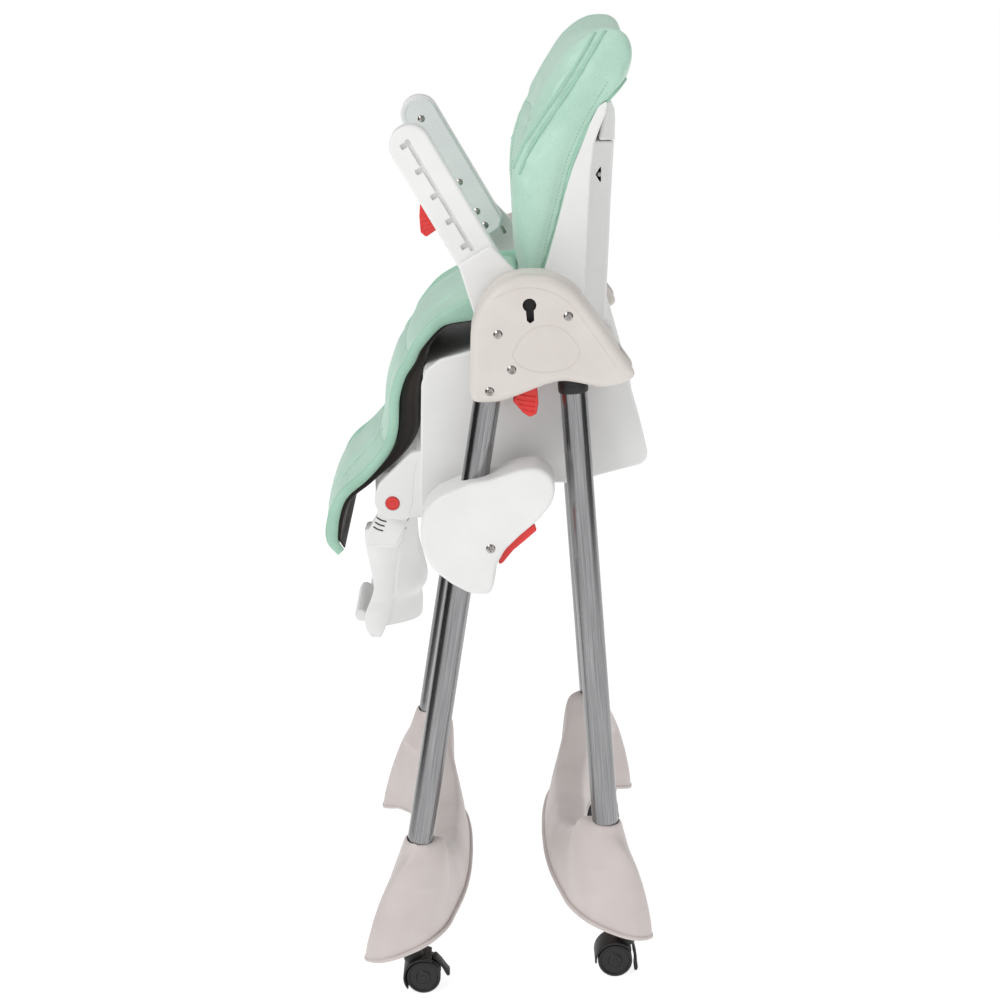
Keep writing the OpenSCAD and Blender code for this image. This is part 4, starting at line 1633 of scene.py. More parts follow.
@dataclass
class Armrests:
    """The two armrest bars, folded up: outer rail channel, inner cover, trigger and screws."""

    pivot: Point = (-21.0, 797.0)
    tip: Point = (-132.0, 984.0)
    half: float = 23.0
    way: np.ndarray = field(init=False)
    out: np.ndarray = field(init=False)

    def __post_init__(self) -> None:
        """Works out the arm's own directions."""
        self.way = unit(np.array(self.tip) - np.array(self.pivot))
        self.out = turned(self.way, -90)

    def at(self, along: float, across: float) -> Point:
        """A place on the arm, along it from the pivot and across it towards the back."""
        y, z = np.array(self.pivot) + along * self.way + across * self.out
        return float(y), float(z)

    def outline(self) -> Outline:
        """The bar's outline."""
        angle = math.degrees(math.atan2(self.way[1], self.way[0]))
        return arc(self.tip, self.half, angle + 90, angle - 90, 14) + [
            self.at(56, self.half), self.at(46.5, 13), self.at(46.5, -13), self.at(56, -self.half)]

    def build(self) -> None:
        """Builds both arms."""
        angle = math.degrees(math.atan2(self.way[1], self.way[0]))
        for side in Side:
            bar = slab("bar", self.outline(), 150, 179, WHITE_PP, 1.0, 4.5, 6, pitch=2.4)
            channel = slab("channel", [self.at(84, -2), self.at(84, 3), self.at(226, 3),
                                       self.at(226, -2)], 173.5, 190, WHITE_PP, 0.3, 0.3, 2, pitch=2)
            notches = [slab("notch", [self.at(90 + k * 32, -9.5), self.at(90 + k * 32, -1),
                                      self.at(96.5 + k * 32, -1), self.at(96.5 + k * 32, -9.5)],
                            173.5, 190, WHITE_PP, 0.2, 0.2, 1.5, pitch=1.6) for k in range(5)]
            slot = slab("slot", [self.at(162, -26), self.at(162, -8), self.at(118, -8),
                                 self.at(118, -26)], 155, 173, WHITE_PP, 0.2, 0.2, 1.5)
            bar = cut(bar, [channel, *notches, slot], 32)
            root_shape = [self.at(80, -self.half + 2), self.at(80, self.half - 2)] + arc(
                self.pivot, 40, angle - 62, angle - 298, 20)
            root = slab("root", root_shape, 177, 187, WHITE_PP, 1.0, 3.0, 6, pitch=2.6)
            root = cut(root, [peg((176, *self.pivot), 8.05, 12)], 32)
            arm = joined(f"armrest_{side.word}_moulded", [bar, root])
            cover = slab(f"arm_cover_{side.word}_moulded", inset_outline(self.outline(), 1.6), 146, 150,
                         GREY_ABS, 1.4, 0.3, 5, pitch=2.4)
            recess = slab("recess", inset_outline(self.outline(), 6), 144, 146.6, GREY_ABS, 0.1, 0.1, 5,
                          pitch=3)
            cover = cut(cover, [recess], 32)
            trigger_shape = [self.at(158, -17), self.at(157, -24), self.at(146, -31.5),
                             self.at(130, -39.5), self.at(122.5, -37), self.at(124, -15),
                             self.at(140, -12)]
            trigger = slab("trigger", trigger_shape, 156, 172, RED_ABS, 1.2, 1.8, 2.4, pitch=1.5)
            grooves = [piped("groove", np.array([(172.2, *self.at(a, -25.0)),
                                                 (172.2, *self.at(a + 2, -36.0))]), 1.2, RED_ABS)
                       for a in (126.5, 131.5, 136.5, 141.5)]
            trigger = renamed(cut(trigger, grooves, 30), f"arm_trigger_{side.word}_ribbed")
            if side is Side.RIGHT:
                for piece in (arm, cover, trigger):
                    mirror(piece)
            for piece, body, node, slot_name in (
                    (arm, "arm", "armrest", "white_plastic"),
                    (cover, "arm", "arm_cover", "grey_plastic"),
                    (trigger, "arm_trigger", "arm_trigger", "red_plastic")):
                placed(piece, f"{body}_{side.word}", slot_name, f"{node}_{side.word}")
            places = [(side.value * 146.6, *self.at(a, 0)) for a in (212, 122, 80, 60)]
            ways = [(-side.value, 0, 0)] * len(places)
            screws = scattered(f"arm_screws_{side.word}_cross_head", screw_head(4.4, 1.6),
                               np.array(places), np.array(ways, float), ZINC, 3.0, 11)
            placed(screws, f"arm_{side.word}", "zinc_screw", f"arm_screws_{side.word}")
            rod = turned_piece(f"arm_stop_rod_{side.word}", (162, *self.at(47, 15)),
                               (0, *(-self.way)), [(0, 0), (0, 2.4), (9, 2.4), (10, 1.8), (10, 0)],
                               ZINC, side)
            placed(rod, f"arm_{side.word}", "zinc_screw")


@dataclass
class Backrest:
    """The white back shell, the recline column down its middle and the release handle."""

    half: float = 150.0

    def build(self) -> None:
        """Builds the shell, the column and the handle."""
        outside = [(14, 838), (22, 866), (30, 896), (38, 928), (47, 960), (60, 995), (74, 1024),
                   (85, 1032), (83, 1018), (76, 1000), (70, 983), (67, 955), (65, 915), (63, 870),
                   (60.5, 815), (58, 771), (18, 770)]
        inside = [(20, 838), (33, 890), (48, 953), (63, 990), (72, 1006), (66, 984), (61.5, 900),
                  (57, 800), (54, 762), (22, 762)]
        shell = slab("shell", outside, -self.half, self.half, WHITE_PP, 3.2, 3.2, 3, pitch=2.6)
        shell = cut(shell, [slab("hollow", inside, 3 - self.half, self.half - 3, WHITE_PP, 0.5, 0.5, 2,
                                 pitch=4)], 34)
        parts = [shell]
        for side in Side:
            lug_shape = [(20, 778)] + arc((42, 735), 17.5, 180, 360, 16) + [(59, 778)]
            lug = slab("lug", lug_shape, self.half - 8, self.half, WHITE_PP, 0.8, 1.2, 3, pitch=2.2)
            lug = cut(lug, [peg((self.half - 10, 42, 735), 6.05, 12)], 32)
            parts.append(mirror(lug) if side is Side.RIGHT else lug)
        placed(joined("back_shell_moulded", parts, 34), "back", "white_plastic", "back_shell")

        column_shape = [(58.5, 770), (60.5, 800), (62.5, 850), (64.5, 900), (67.5, 950), (70.5, 976),
                        (96.5, 976), (95.2, 950), (93.4, 905), (92, 860), (90, 808), (89, 714),
                        (64.5, 713)]
        column = slab("column", column_shape, -60, 60, WHITE_PP, 4.0, 4.0, 2.6, pitch=2.2)
        slot = slab("slot", [(75.5, 938), (82, 949), (82, 927)], -70, 70, WHITE_PP, 0.2, 0.2,
                    1.2, pitch=1.5)
        column = renamed(cut(column, [slot], 32), "recline_column_moulded")
        placed(column, "back", "white_plastic", "recline_column")
        placed(peg((-59, 80.3, 938), 2.4, 118, ZINC, "recline_wedge_knob"), "back", "zinc_screw")

        handle_shape = [(78.8, 977.2), (97.2, 977.2), (97.4, 1000), (96.5, 1012), (93, 1020), (89, 1022),
                        (85, 1012)]
        handle = slab("recline_handle_moulded", handle_shape, -62, 62, WHITE_PP, 5, 5, 2.4, pitch=1.8)
        grip = slab("grip", [(94.5, 985), (100, 985), (100, 1004), (94.5, 1004)], -34, 34, WHITE_PP,
                    2, 2, 1.2)
        placed(cut(handle, [grip], 32), "recline_handle", "white_plastic", "recline_handle")


@dataclass
class LegRest:
    """The white leg rest: two curved arms that draw together, cross webs and the foot plate."""

    hinge: Point = (-156.0, 578.0)

    def arm(self) -> bpy.types.Object:
        """Builds the left arm, a flat bar that runs inwards on its way down.

        Returns:
            The arm. Its rows give front, rear, middle across, and height.
        """
        rows = [(-190.0, -142.0, 122.0, 536.0), (-189.5, -150.0, 120.0, 516.0),
                (-186.0, -155.0, 104.0, 486.0), (-183.0, -157.0, 84.0, 455.0),
                (-186.5, -160.0, 73.0, 436.0), (-194.5, -166.0, 66.0, 413.0),
                (-194.0, -171.0, 64.5, 396.0), (-188.0, -176.0, 64.0, 385.0)]
        path = smooth_path(rows, 5.0)
        points = []
        for front, rear, x, z in path:
            ring = [(x - 4.5, front + 2), (x - 3, front), (x + 3, front), (x + 4.5, front + 2),
                    (x + 4.5, rear - 2), (x + 3, rear), (x - 3, rear), (x - 4.5, rear - 2)]
            points += [(a, b, z) for a, b in ring]
        return solid("arm", np.array(points), rod_faces(len(path), 8), WHITE_PP)

    def trough(self) -> bpy.types.Object:
        """Builds the calf plate, a sheet that sags backwards between the two arms.

        Returns:
            The plate. Its rows give half width, edge, middle, and height.
        """
        rows = [(121.0, -144.0, -136.0, 540.0), (120.0, -148.0, -134.5, 512.0),
                (104.0, -153.0, -131.5, 480.0), (84.0, -156.0, -122.0, 447.0),
                (76.0, -159.0, -124.0, 437.0), (71.0, -162.0, -130.0, 429.0),
                (67.0, -166.0, -127.5, 412.0), (66.0, -169.0, -128.0, 399.0)]
        path = smooth_path(rows, 4.0)
        across = np.linspace(-1, 1, 33)
        sheets: list[list[tuple[float, float, float]]] = [[], []]
        for half, side_y, middle_y, z in path:
            for q in across:
                y = middle_y + (side_y - middle_y) * abs(q) ** 3
                sheets[0].append((q * half, y, z))
                sheets[1].append((q * half, y - 3.2, z))
        faces = sheet_faces(len(path), len(across))
        return solid("trough", np.array(sheets[0] + sheets[1]), faces, WHITE_PP, sharp=50)

    def build(self) -> None:
        """Builds the leg rest and the foot plate."""
        parts = []
        for side in Side:
            eye_shape = arc(self.hinge, 19.8, -20, 200, 20) + [(-174, 560), (-186, 540), (-188, 524),
                                                               (-152, 524), (-142, 545), (-137, 565)]
            eye = slab("eye", eye_shape, 139, 151, WHITE_PP, 1.4, 2.4, 4, pitch=2.2)
            eye = cut(eye, [peg((130, *self.hinge), 5.05, 25)], 32)
            shoulder = slab("shoulder", [(-189, 543), (-188.5, 520), (-150, 520), (-142, 543)], 116, 150,
                            WHITE_PP, 2.4, 2.4, 5, pitch=2.4)
            arm = self.arm()
            for piece in (eye, shoulder, arm):
                parts.append(mirror(piece) if side is Side.RIGHT else piece)
        parts.append(self.trough())
        placed(joined("leg_rest_moulded", parts), "leg_rest", "white_plastic", "leg_rest")
        plate = slab("foot_plate_moulded",
                     [(-205, 402), (-208, 409), (-203.5, 416), (-198, 416.5), (-187, 410), (-169, 404.5),
                      (-170, 398.5), (-190, 401)], -58, 58, WHITE_PP, 3, 3, 2.5, pitch=2)
        placed(plate, "leg_rest", "white_plastic", "foot_plate")
        # Painted shade: black cords laid along the outer face of each eye stand for the shade inside
        # three vent slits; no slit is cut.
        slits = []
        for y, z in ((-175.0, 557.0), (-177.0, 551.5), (-179.0, 546.0)):
            path = smooth_path([(151.0, y, z), (151.2, y + 5, z - 3.2), (151.0, y + 11, z - 5)], 1.5)
            slits += [piped("slit", path, 0.8, BLACK_NYLON, segments=6),
                      mirror(piped("slit", path, 0.8, BLACK_NYLON, segments=6))]
        placed(joined("leg_rest_vents", slits), "leg_rest", "black_plastic")


# ---------------------------------------------------------------- soft goods


def surface(piece: bpy.types.Object) -> BVHTree:
    """A search tree over a piece's faces."""
    graph = bpy.context.evaluated_depsgraph_get()
    return BVHTree.FromObject(piece, graph)


def draped(piece: bpy.types.Object, path: np.ndarray, way: tuple[float, float, float],
           lift: float = 0.0) -> np.ndarray:
    """Lays a path onto a piece by throwing each of its points along a direction.

    Args:
        piece: The piece that catches the path.
        path: Side-view points.
        way: The direction, in the side view.
        lift: How far the result stands off the surface, in millimetres.

    Returns:
        The side-view points that landed.
    """
    tree = surface(piece)
    turn = VIEW.turn().to_3x3()
    direction = (turn @ Vector(way)).normalized()
    landed = []
    for point in VIEW.rows(path):
        hit, normal, _, _ = tree.ray_cast(Vector(point) - direction * 0.3, direction)
        if hit is not None:
            landed.append(hit + normal * lift * MM)
    points = VIEW.flat(np.array([spot[:] for spot in landed]))
    for _ in range(3):
        points[1:-1] = (points[:-2] + 2 * points[1:-1] + points[2:]) / 4
    return points


def pressed(piece: bpy.types.Object, paths: Sequence[np.ndarray], width: float, depth: float) -> None:
    """Draws a padded piece in along its seams.

    Args:
        piece: The piece.
        paths: The seams' side-view points, lying on the piece.
        width: How far the dip reaches, in millimetres.
        depth: How deep it goes.
    """
    seams = VIEW.rows(np.vstack(paths))
    mesh = piece.data
    count = len(mesh.vertices)
    places = np.empty(count * 3)
    mesh.vertices.foreach_get("co", places)
    places = places.reshape(-1, 3)
    normals = np.array([v.normal[:] for v in mesh.vertices])
    tree = KDTree(len(seams))
    for index, place in enumerate(seams):
        tree.insert(place, index)
    tree.balance()
    near = np.array([tree.find(place)[2] for place in places])
    dip = depth * MM * np.exp(-((near / (width * MM)) ** 2))
    mesh.vertices.foreach_set("co", (places - normals * dip[:, None]).ravel())
    mesh.update()


@dataclass
class Stuffing:
    """How a padded cover is filled: a cloth bag blown up a little, and held where it's fastened."""

    voxel_mm: float = 6.0
    pressure: float = 4.0
    frames: int = 20
    cap_mm: float = 9.0

    def fill(self, piece: bpy.types.Object, held: Callable[[np.ndarray], np.ndarray]) -> None:
        """Remeshes a closed piece evenly, inflates it as cloth and smooths it.

        Args:
            piece: The closed piece.
            held: Given the vertices in side-view millimetres, says which are fastened.
        """
        remesh = piece.modifiers.new("even", "REMESH")
        remesh.mode = "VOXEL"
        remesh.voxel_size = self.voxel_mm * MM
        relax = piece.modifiers.new("relax", "SMOOTH")
        relax.iterations = 4
        relax.factor = 0.5
        applied(piece)
        self.blow(piece, held)
        smooth = piece.modifiers.new("smooth", "SMOOTH")
        smooth.iterations = 2
        smooth.factor = 0.4
        finer = piece.modifiers.new("finer", "SUBSURF")
        finer.levels = finer.render_levels = 1
        applied(piece)
        piece.data.shade_smooth()

    def blow(self, piece: bpy.types.Object, held: Callable[[np.ndarray], np.ndarray]) -> None:
        """Runs the cloth simulation and keeps every vertex within the cap.

        Args:
            piece: The bag.
            held: Given the vertices in side-view millimetres, says which are fastened.
        """
        before = np.array([v.co[:] for v in piece.data.vertices])
        pins = piece.vertex_groups.new(name="held")
        pins.add([int(i) for i in np.nonzero(held(VIEW.flat(before)))[0]], 1.0, "REPLACE")
        cloth = piece.modifiers.new("cloth", "CLOTH")
        rules = cloth.settings
        rules.quality = 5
        rules.mass = 0.3
        rules.tension_stiffness = rules.compression_stiffness = 15
        rules.shear_stiffness = 5
        rules.bending_stiffness = 0.5
        rules.use_pressure = True
        rules.uniform_pressure_force = self.pressure
        rules.vertex_group_mass = "held"
        rules.effector_weights.gravity = 0.0
        cloth.point_cache.frame_start = 1
        cloth.point_cache.frame_end = self.frames
        scene = bpy.context.scene
        for number in range(1, self.frames + 1):
            scene.frame_set(number)
        applied(piece)
        scene.frame_set(1)
        after = np.array([v.co[:] for v in piece.data.vertices])
        moved = after - before
        length = np.linalg.norm(moved, axis=1, keepdims=True)
        cap = self.cap_mm * MM
        moved *= np.minimum(1.0, cap / np.maximum(length, 1e-9))
        piece.data.vertices.foreach_set("co", (before + moved).ravel())
        piece.data.update()
        LOG.info("%s: cloth moved up to %.1f mm", piece.name, float(length.max()) / MM)


@dataclass
class SoftGoods:
    """The mint covers: the back cushion with its head roll, and the seat cover down to the calves."""

    back_half: float = 156.0
    seat_half: float = 137.0
    back_outline: tuple[Point, ...] = (
        (-6, 790), (-11, 838), (-17, 879), (-19, 924), (-17, 957), (-8, 989), (9, 1020), (27, 1053),
        (45, 1082), (61, 1100), (79, 1108), (98, 1109), (110, 1103), (116, 1089), (114, 1073),
        (105, 1055), (94, 1040), (85, 1031), (72, 1017), (59, 990), (46, 958), (37, 925), (28, 888),
        (20, 860), (12, 836), (9, 800))
    cover_outer: tuple[Point, ...] = (
        (-12, 820), (-38, 817), (-67, 809), (-92, 797), (-112, 783), (-132, 758), (-140, 741),
        (-151, 723), (-159, 695), (-161, 660), (-169, 636), (-192, 608), (-214, 589), (-226, 571),
        (-234, 545), (-233, 524), (-221, 509))
    cover_depth: tuple[Point, ...] = ((0.0, 26.0), (0.14, 24.0), (0.24, 13.0), (0.4, 11.0), (0.8, 11.0),
                                      (0.92, 14.0), (1.0, 9.0))
    backing_depth: tuple[Point, ...] = (
        (0, 4), (0.2, 5), (0.3, 8), (0.37, 14), (0.42, 20), (0.5, 24), (0.58, 25), (0.64, 17),
        (0.72, 10), (0.85, 8), (1, 4))
    fastening: tuple[Point, ...] = ((84, 1031), (72, 1019), (59, 990), (46, 958), (37, 925), (28, 888),
                                    (20, 860), (12, 836), (9, 800))

    def cover_line(self) -> tuple[np.ndarray, np.ndarray]:
        """The seat cover's outer line in the side view, and its inward directions."""
        line = smooth_path(self.cover_outer, 5.0)
        return line, np.array([unit(np.array([-w[1], w[0]])) for w in np.gradient(line, axis=0)])

    def strip(self, name: str, depth0: Callable[[float], float], depth1: Callable[[float], float],
              half: float, finish: Finish, crown: float) -> bpy.types.Object:
        """A layer of the seat cover, between two depths below its outer line.

        Args:
            name: The piece's name.
            depth0: Depth of the outer face at a place from 0 to 1 along the cover.
            depth1: Depth of the inner face.
            half: Half width.
            finish: Its finish.
            crown: How far the outer face swells in the middle.

        Returns:
            The closed layer.
        """
        line, inward = self.cover_line()
        across = np.sin(np.linspace(-math.pi / 2, math.pi / 2, 41)) * half
        outer, inner = [], []
        for i, (place, normal) in enumerate(zip(line, inward)):
            s = i / (len(line) - 1)
            near, far = depth0(s), depth1(s)
            middle = (near + far) / 2
            ends = max(0.0, 1 - (2 * s - 1) ** 20) ** 0.5
            for x in across:
                edge = max(0.0, 1 - (x / half) ** 6) ** 0.5
                top = middle + (near - middle) * (0.25 + 0.75 * edge * ends) \
                    - crown * edge * (1 - (x / half) ** 2) * ends
                low = middle + (far - middle) * (0.25 + 0.75 * edge * ends)
                outer.append((x, *(place + normal * top)))
                inner.append((x, *(place + normal * low)))
        faces = sheet_faces(len(line), len(across))
        return solid(name, np.array(outer + inner), faces, finish, sharp=80)

    def seat_cover(self) -> None:
        """Builds the quilted seat cover and its black backing, bending at the leg rest."""
        line, inward = self.cover_line()

        def thick(s: float) -> float:
            """The cover's thickness at a place from 0 to 1 along it."""
            return float(eased(s, self.cover_depth)[0])

        def lowest(s: float) -> float:
            """Depth of the backing's lower face at a place along the cover."""
            return thick(s) + float(eased(s, self.backing_depth)[0])

        def held(flat: np.ndarray) -> np.ndarray:
            """Says which vertices lie on the inner face."""
            gap = np.linalg.norm(flat[:, None, 1:] - line[None], axis=2)
            return gap.min(axis=1) > 7.5

        cover = self.strip("seat_cover_quilted", lambda s: 0.0, thick, self.seat_half, MINT_COVER, 3.0)

        Stuffing(cap_mm=6.0).fill(cover, held)
        seams = []
        inwards = (0, 0.94, -0.34)
        for x in (-72.0, 72.0):
            path = smooth_path([(x, y, z) for y, z in self.cover_outer[3:-1]], 4.0)
            seams.append(draped(cover, path, inwards))
        for index in (6, 10):
            y, z = self.cover_outer[index]
            seams.append(draped(cover, np.array([(x, y, z) for x in np.linspace(-129, 129, 60)]),
                                (0, 0.97, -0.2)))
        pressed(cover, seams, 9.0, 3.2)
        pieces = [(cover, "mint_cover")]
        for index, seam in enumerate(seams):
            path = draped(cover, seam, inwards, 0.1)
            pieces.append((stitched(f"seat_cover_stitches_{index}", path), "mint_cover"))
        backing = self.strip("seat_cover_backing", lambda s: thick(s) - 1.5, lowest, self.seat_half - 3,
                             BLACK_BACKING, 0.0)
        pieces.append((backing, "black_plastic"))
        depth = np.array([thick(s) for s in np.linspace(0, 1, len(line))])
        for side in Side:
            edge = np.array([(side.value * (self.seat_half + 2.0), y, z) for y, z in line])
            edge[:, 1:] += inward * (depth * 0.5)[:, None]
            roll = self.rolled(f"seat_cover_edge_{side.word}", edge, inward, depth * 0.5 + 0.5, 4.0)
            pieces.append((roll, "mint_cover"))
        for piece, slot_name in pieces:
            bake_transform(piece)
        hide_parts("seat_cushion", "calf_pad")

    def rolled(self, name: str, path: np.ndarray, inward: np.ndarray, reach: np.ndarray,
               thick: float) -> bpy.types.Object:
        """Makes a rolled edge: an oval cord, as deep as the layer that it binds.

        Args:
            name: The piece's name.
            path: Its middle line, in side-view points.
            inward: The direction of its depth at each point, in the side view.
            reach: Half its depth at each point.
            thick: Half its width.

        Returns:
            The edge.
        """
        points = []
        steps = 14
        for place, normal, half in zip(path, inward, reach):
            for k in range(steps):
                a = 2 * math.pi * k / steps
                points.append((place[0] + thick * math.cos(a),
                               *(place[1:] + normal * half * math.sin(a))))
        # The rolled edge is coloured with the cover's painted-shade tone, a tone deeper than the cover.
        return solid(name, np.array(points), rod_faces(len(path), steps), MINT_PAINTED_SHADE, sharp=70)

    def back_cushion(self) -> None:
        """Builds the back cushion: side bolsters, a hollow for the back and a head roll."""
        shape = rounded(list(self.back_outline), 8, 4.0)
        cushion = slab("back_cushion_quilted", shape, -self.back_half, self.back_half, MINT_COVER,
                       15, 15, 0, pitch=4.0)
        self.taper(cushion)
        Stuffing(cap_mm=7.0).fill(cushion, self.fastened)
        self.hollow(cushion)
        pieces = []
        seams = []
        for hand in (1, -1):
            band = smooth_path([(hand * 165, y, z) for y, z in
                                ((84, 1050), (64, 1018), (51, 993), (40, 966), (30, 927), (19, 882),
                                 (10, 838), (5, 806))], 4.0)
            head = smooth_path([(hand * 165, y, z) for y, z in
                                ((82, 1104), (72, 1090), (58, 1067), (43, 1044), (16, 1004), (-1, 977),
                                 (-12, 950))], 4.0)
            seams += [draped(cushion, band, (-hand, 0, 0)), draped(cushion, head, (-hand, 0, 0))]
        for z in (1004.0, 932.0, 862.0):
            seams.append(draped(cushion, np.array([(x, -20.0, z) for x in np.linspace(-112, 112, 60)]),
                                (0, 1, 0)))
        for x in (-116.0, 116.0):
            seams.append(draped(cushion, np.array([(x, -20.0, z) for z in np.linspace(815, 1010, 50)]),
                                (0, 1, 0)))
        pressed(cushion, seams, 8.0, 3.0)
        directions = [(-1, 0, 0)] * 2 + [(1, 0, 0)] * 2 + [(0, 1, 0)] * 5
        for index, (seam, way) in enumerate(zip(seams, directions)):
            path = draped(cushion, seam, way, 0.1)
            pieces.append(stitched(f"back_cushion_stitches_{index}", path))
            if index in (1, 3):
                twin = seam + np.array([0.0, -6.5, 5.0])
                for number, cord in enumerate((seam, draped(cushion, twin + [200 * (2 - index), 0, 0],
                                                            way, 0.0))):
                    # The head-roll cords are coloured with the cover's painted-shade tone.
                    pieces.append(piped(f"back_cushion_cord_{index}_{number}", draped(
                        cushion, cord, way, 0.3), 1.7, MINT_PAINTED_SHADE))
        for hand in (1, -1):
            edge = smooth_path([(hand * 165, y, z) for y, z in
                                ((104, 1052), (92, 1040), (80, 1026), (65, 1006), (54, 984), (44, 958),
                                 (36, 925), (27, 888), (18, 858), (11, 836))], 4.0)
            edge = draped(cushion, edge, (-hand, 0, 0), 0.8)
            if len(edge) > 6:
                # The piping is coloured with the cover's painted-shade tone.
                pieces.append(piped(f"back_cushion_piping_{'left' if hand > 0 else 'right'}",
                                    edge, 2.3, MINT_PAINTED_SHADE))
        for piece in (cushion, *pieces):
            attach(piece, "back")
        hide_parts("back_cushion")

    def fastened(self, flat: np.ndarray) -> np.ndarray:
        """Says which vertices of the back cushion lie against the shell.

        Args:
            flat: The vertices in side-view millimetres.

        Returns:
            True for each one that is fastened.
        """
        line = respaced(np.array(self.fastening, float), 4.0, closed=False)
        gap = np.linalg.norm(flat[:, None, 1:] - line[None], axis=2).min(axis=1)
        return gap < 6.0

    def taper(self, cushion: bpy.types.Object) -> None:
        """Draws the head roll's ends in, so that its top corners are round.

        Args:
            cushion: The back cushion.
        """
        mesh = cushion.data
        places = np.array([v.co[:] for v in mesh.vertices])
        above = np.clip((VIEW.flat(places)[:, 2] - 1005) / 100, 0, 1)
        places[:, 0] *= 1 - 0.13 * above**3
        mesh.vertices.foreach_set("co", places.ravel())
        mesh.update()

    def hollow(self, cushion: bpy.types.Object) -> None:
        """Sinks the middle of the front face between the bolsters.

        Args:
            cushion: The back cushion.
        """
        mesh = cushion.data
        turn = np.array(VIEW.turn().to_3x3())
        places = np.array([v.co[:] for v in mesh.vertices])
        normals = np.array([v.normal[:] for v in mesh.vertices])
        x, _, z = VIEW.flat(places).T
        facing = np.maximum(0.0, -(normals @ turn)[:, 1])
        across = np.maximum(0.0, 1 - (np.abs(x) / 118) ** 4)
        up = np.clip((z - 800) / 50, 0, 1) * np.clip((1040 - z) / 60, 0, 1)
        sink = np.outer(15 * MM * facing * across * up, turn @ np.array([0.0, 1.0, 0.0]))
        mesh.vertices.foreach_set("co", (places + sink).ravel())
        mesh.update()

    def build(self) -> None:
        """Builds all the covers."""
        self.back_cushion()
        self.seat_cover()


# ---------------------------------------------------------------- the studio


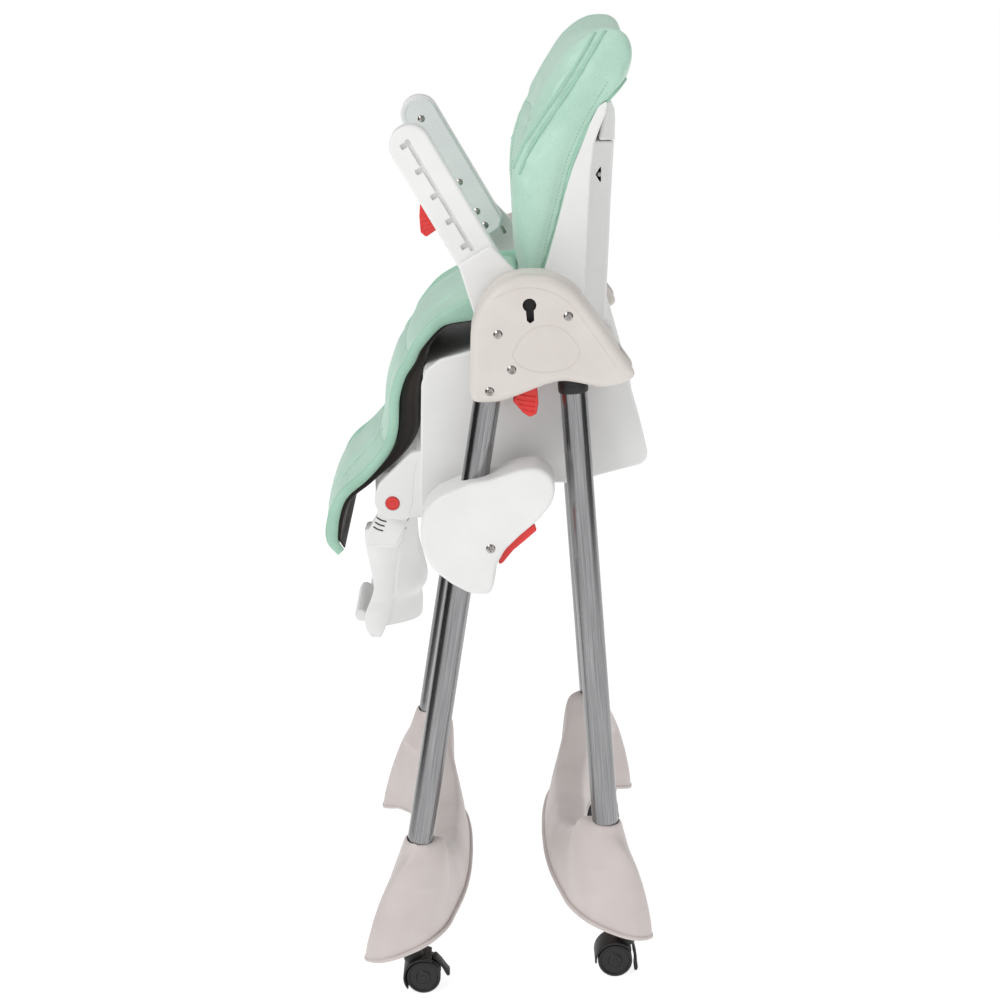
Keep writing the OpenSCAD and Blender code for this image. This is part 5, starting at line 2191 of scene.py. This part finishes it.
@dataclass
class Studio:
    """The white sweep, the soft lights and the camera of the shot."""

    place: tuple[float, float, float] = (2818.7, -36.9, 1296.9)
    tilt: float = 15.09
    yaw: float = -0.07
    lens: float = 86.9
    sky: float = 0.42

    def camera(self) -> None:
        """Sets up the camera, tipped with the chair so that the chair stands as it was seen."""
        tilt, yaw = math.radians(self.tilt), math.radians(self.yaw)
        right = Vector((-math.sin(yaw), math.cos(yaw), 0))
        ahead = Vector((-math.cos(yaw) * math.cos(tilt), -math.sin(yaw) * math.cos(tilt),
                        -math.sin(tilt)))
        turn = VIEW.turn().to_3x3()
        right, ahead = turn @ right, turn @ ahead
        up = right.cross(ahead)
        data = bpy.data.cameras.new("shot")
        data.lens = self.lens
        data.sensor_width = 36.0
        data.clip_end = 200.0
        data.clip_start = 0.05
        eye = bpy.data.objects.new("shot", data)
        bpy.context.scene.collection.objects.link(eye)
        basis = Matrix((right, up, -ahead)).transposed().to_4x4()
        eye.matrix_world = Matrix.Translation(VIEW.row(*self.place)) @ basis
        bpy.context.scene.camera = eye

    def light(self, name: str, place: tuple[float, float, float], size: float, power: float) -> None:
        """Adds one soft light aimed at the chair.

        Args:
            name: Its name.
            place: Where it hangs, in row metres.
            size: Width of its square face, in metres.
            power: Its power in watts.
        """
        data = bpy.data.lights.new(name, "AREA")
        data.shape = "SQUARE"
        data.size = size
        data.energy = power
        lamp = bpy.data.objects.new(name, data)
        bpy.context.scene.collection.objects.link(lamp)
        lamp.location = place
        aim = Vector((0, 0, 0.55)) - Vector(place)
        lamp.rotation_euler = aim.to_track_quat("-Z", "Y").to_euler()

    def flag(self, name: str, y: float) -> None:
        """Hangs a black card that only reflections see, so that the steel gets its dark bands.

        Args:
            name: Its name.
            y: Where it hangs, in row metres.
        """
        mesh = bpy.data.meshes.new(name)
        corners = [(x, y, z) for x, z in ((-0.5, 0.0), (1.3, 0.0), (1.3, 2.4), (-0.5, 2.4))]
        mesh.from_pydata(corners, [], [(0, 1, 2, 3)])
        card = bpy.data.objects.new(name, mesh)
        bpy.context.scene.collection.objects.link(card)
        velvet = bpy.data.materials.new("black_velvet")
        velvet.use_nodes = True
        shader = velvet.node_tree.nodes["Principled BSDF"]
        shader.inputs["Base Color"].default_value = (0.01, 0.01, 0.01, 1)
        shader.inputs["Roughness"].default_value = 1.0
        mesh.materials.append(velvet)
        card.visible_camera = card.visible_diffuse = card.visible_shadow = False
        card.visible_transmission = False

    def build(self) -> None:
        """Builds the floor, the world, the lights and the camera."""
        scene = bpy.context.scene
        scene.view_settings.view_transform = "Standard"
        scene.view_settings.look = "None"
        world = bpy.data.worlds.new("white_room")
        scene.world = world
        world.use_nodes = True
        sky = world.node_tree.nodes["Background"]
        sky.inputs["Color"].default_value = (1.0, 1.0, 1.0, 1.0)
        sky.inputs["Strength"].default_value = self.sky
        work = bmesh.new()
        bmesh.ops.create_grid(work, x_segments=1, y_segments=1, size=60)
        mesh = bpy.data.meshes.new("sweep")
        work.to_mesh(mesh)
        work.free()
        floor = bpy.data.objects.new("sweep", mesh)
        scene.collection.objects.link(floor)
        floor.location.z = -0.0005
        paper = bpy.data.materials.new("backlit_paper")
        paper.use_nodes = True
        shader = paper.node_tree.nodes["Principled BSDF"]
        shader.inputs["Base Color"].default_value = (0.35, 0.35, 0.35, 1)
        shader.inputs["Roughness"].default_value = 1.0
        shader.inputs["Specular IOR Level"].default_value = 0.0
        shader.inputs["Emission Color"].default_value = (1, 1, 1, 1)
        shader.inputs["Emission Strength"].default_value = 0.86
        mesh.materials.append(paper)
        self.light("key", (1.9, -1.6, 2.6), 1.6, 36)
        self.light("fill", (2.2, 2.2, 1.4), 2.2, 9)
        self.light("top", (-0.4, 0.2, 3.0), 2.4, 12)
        self.flag("flag_front", -1.7)
        self.flag("flag_back", 1.7)
        self.camera()


def dress_hidden_parts() -> None:
    """Gives the CAD pieces that stay visible inside the mouldings their real finish."""
    for name in ("front_caster_sockets", "rear_caster_sockets", "leg_rest_pins"):
        mesh = frame["nodes"][name].data
        mesh.materials.clear()
        mesh.materials.append(finish_of(ZINC))


def main() -> None:
    """Builds the whole chair and the shot."""
    logging.basicConfig(level=logging.INFO, format="%(name)s: %(message)s")
    Tubes().build()
    for foot in (Foot(End.FRONT, (-147.2, 54.6), 15.4, 23.9, (520.0, 574.0)),
                 Foot(End.REAR, VIEW.lengthened(97.6, 99.5), -14.6, 19.2, (598.0, 652.0))):
        placed(foot.build(), f"{foot.end.word}_frame", "foot_plastic", f"{foot.end.word}_foot")
    casters = [Caster(end, side) for end in End for side in Side]
    upper = (SeatShell(), Armrests(), Backrest(), LegRest(), SoftGoods())
    for part in (Hubs(), *casters, *upper, Studio()):
        started = time.perf_counter()
        part.build()
        LOG.info("%s built in %.1f s", type(part).__name__, time.perf_counter() - started)
    dress_hidden_parts()


if __name__ == "__main__":
    main()
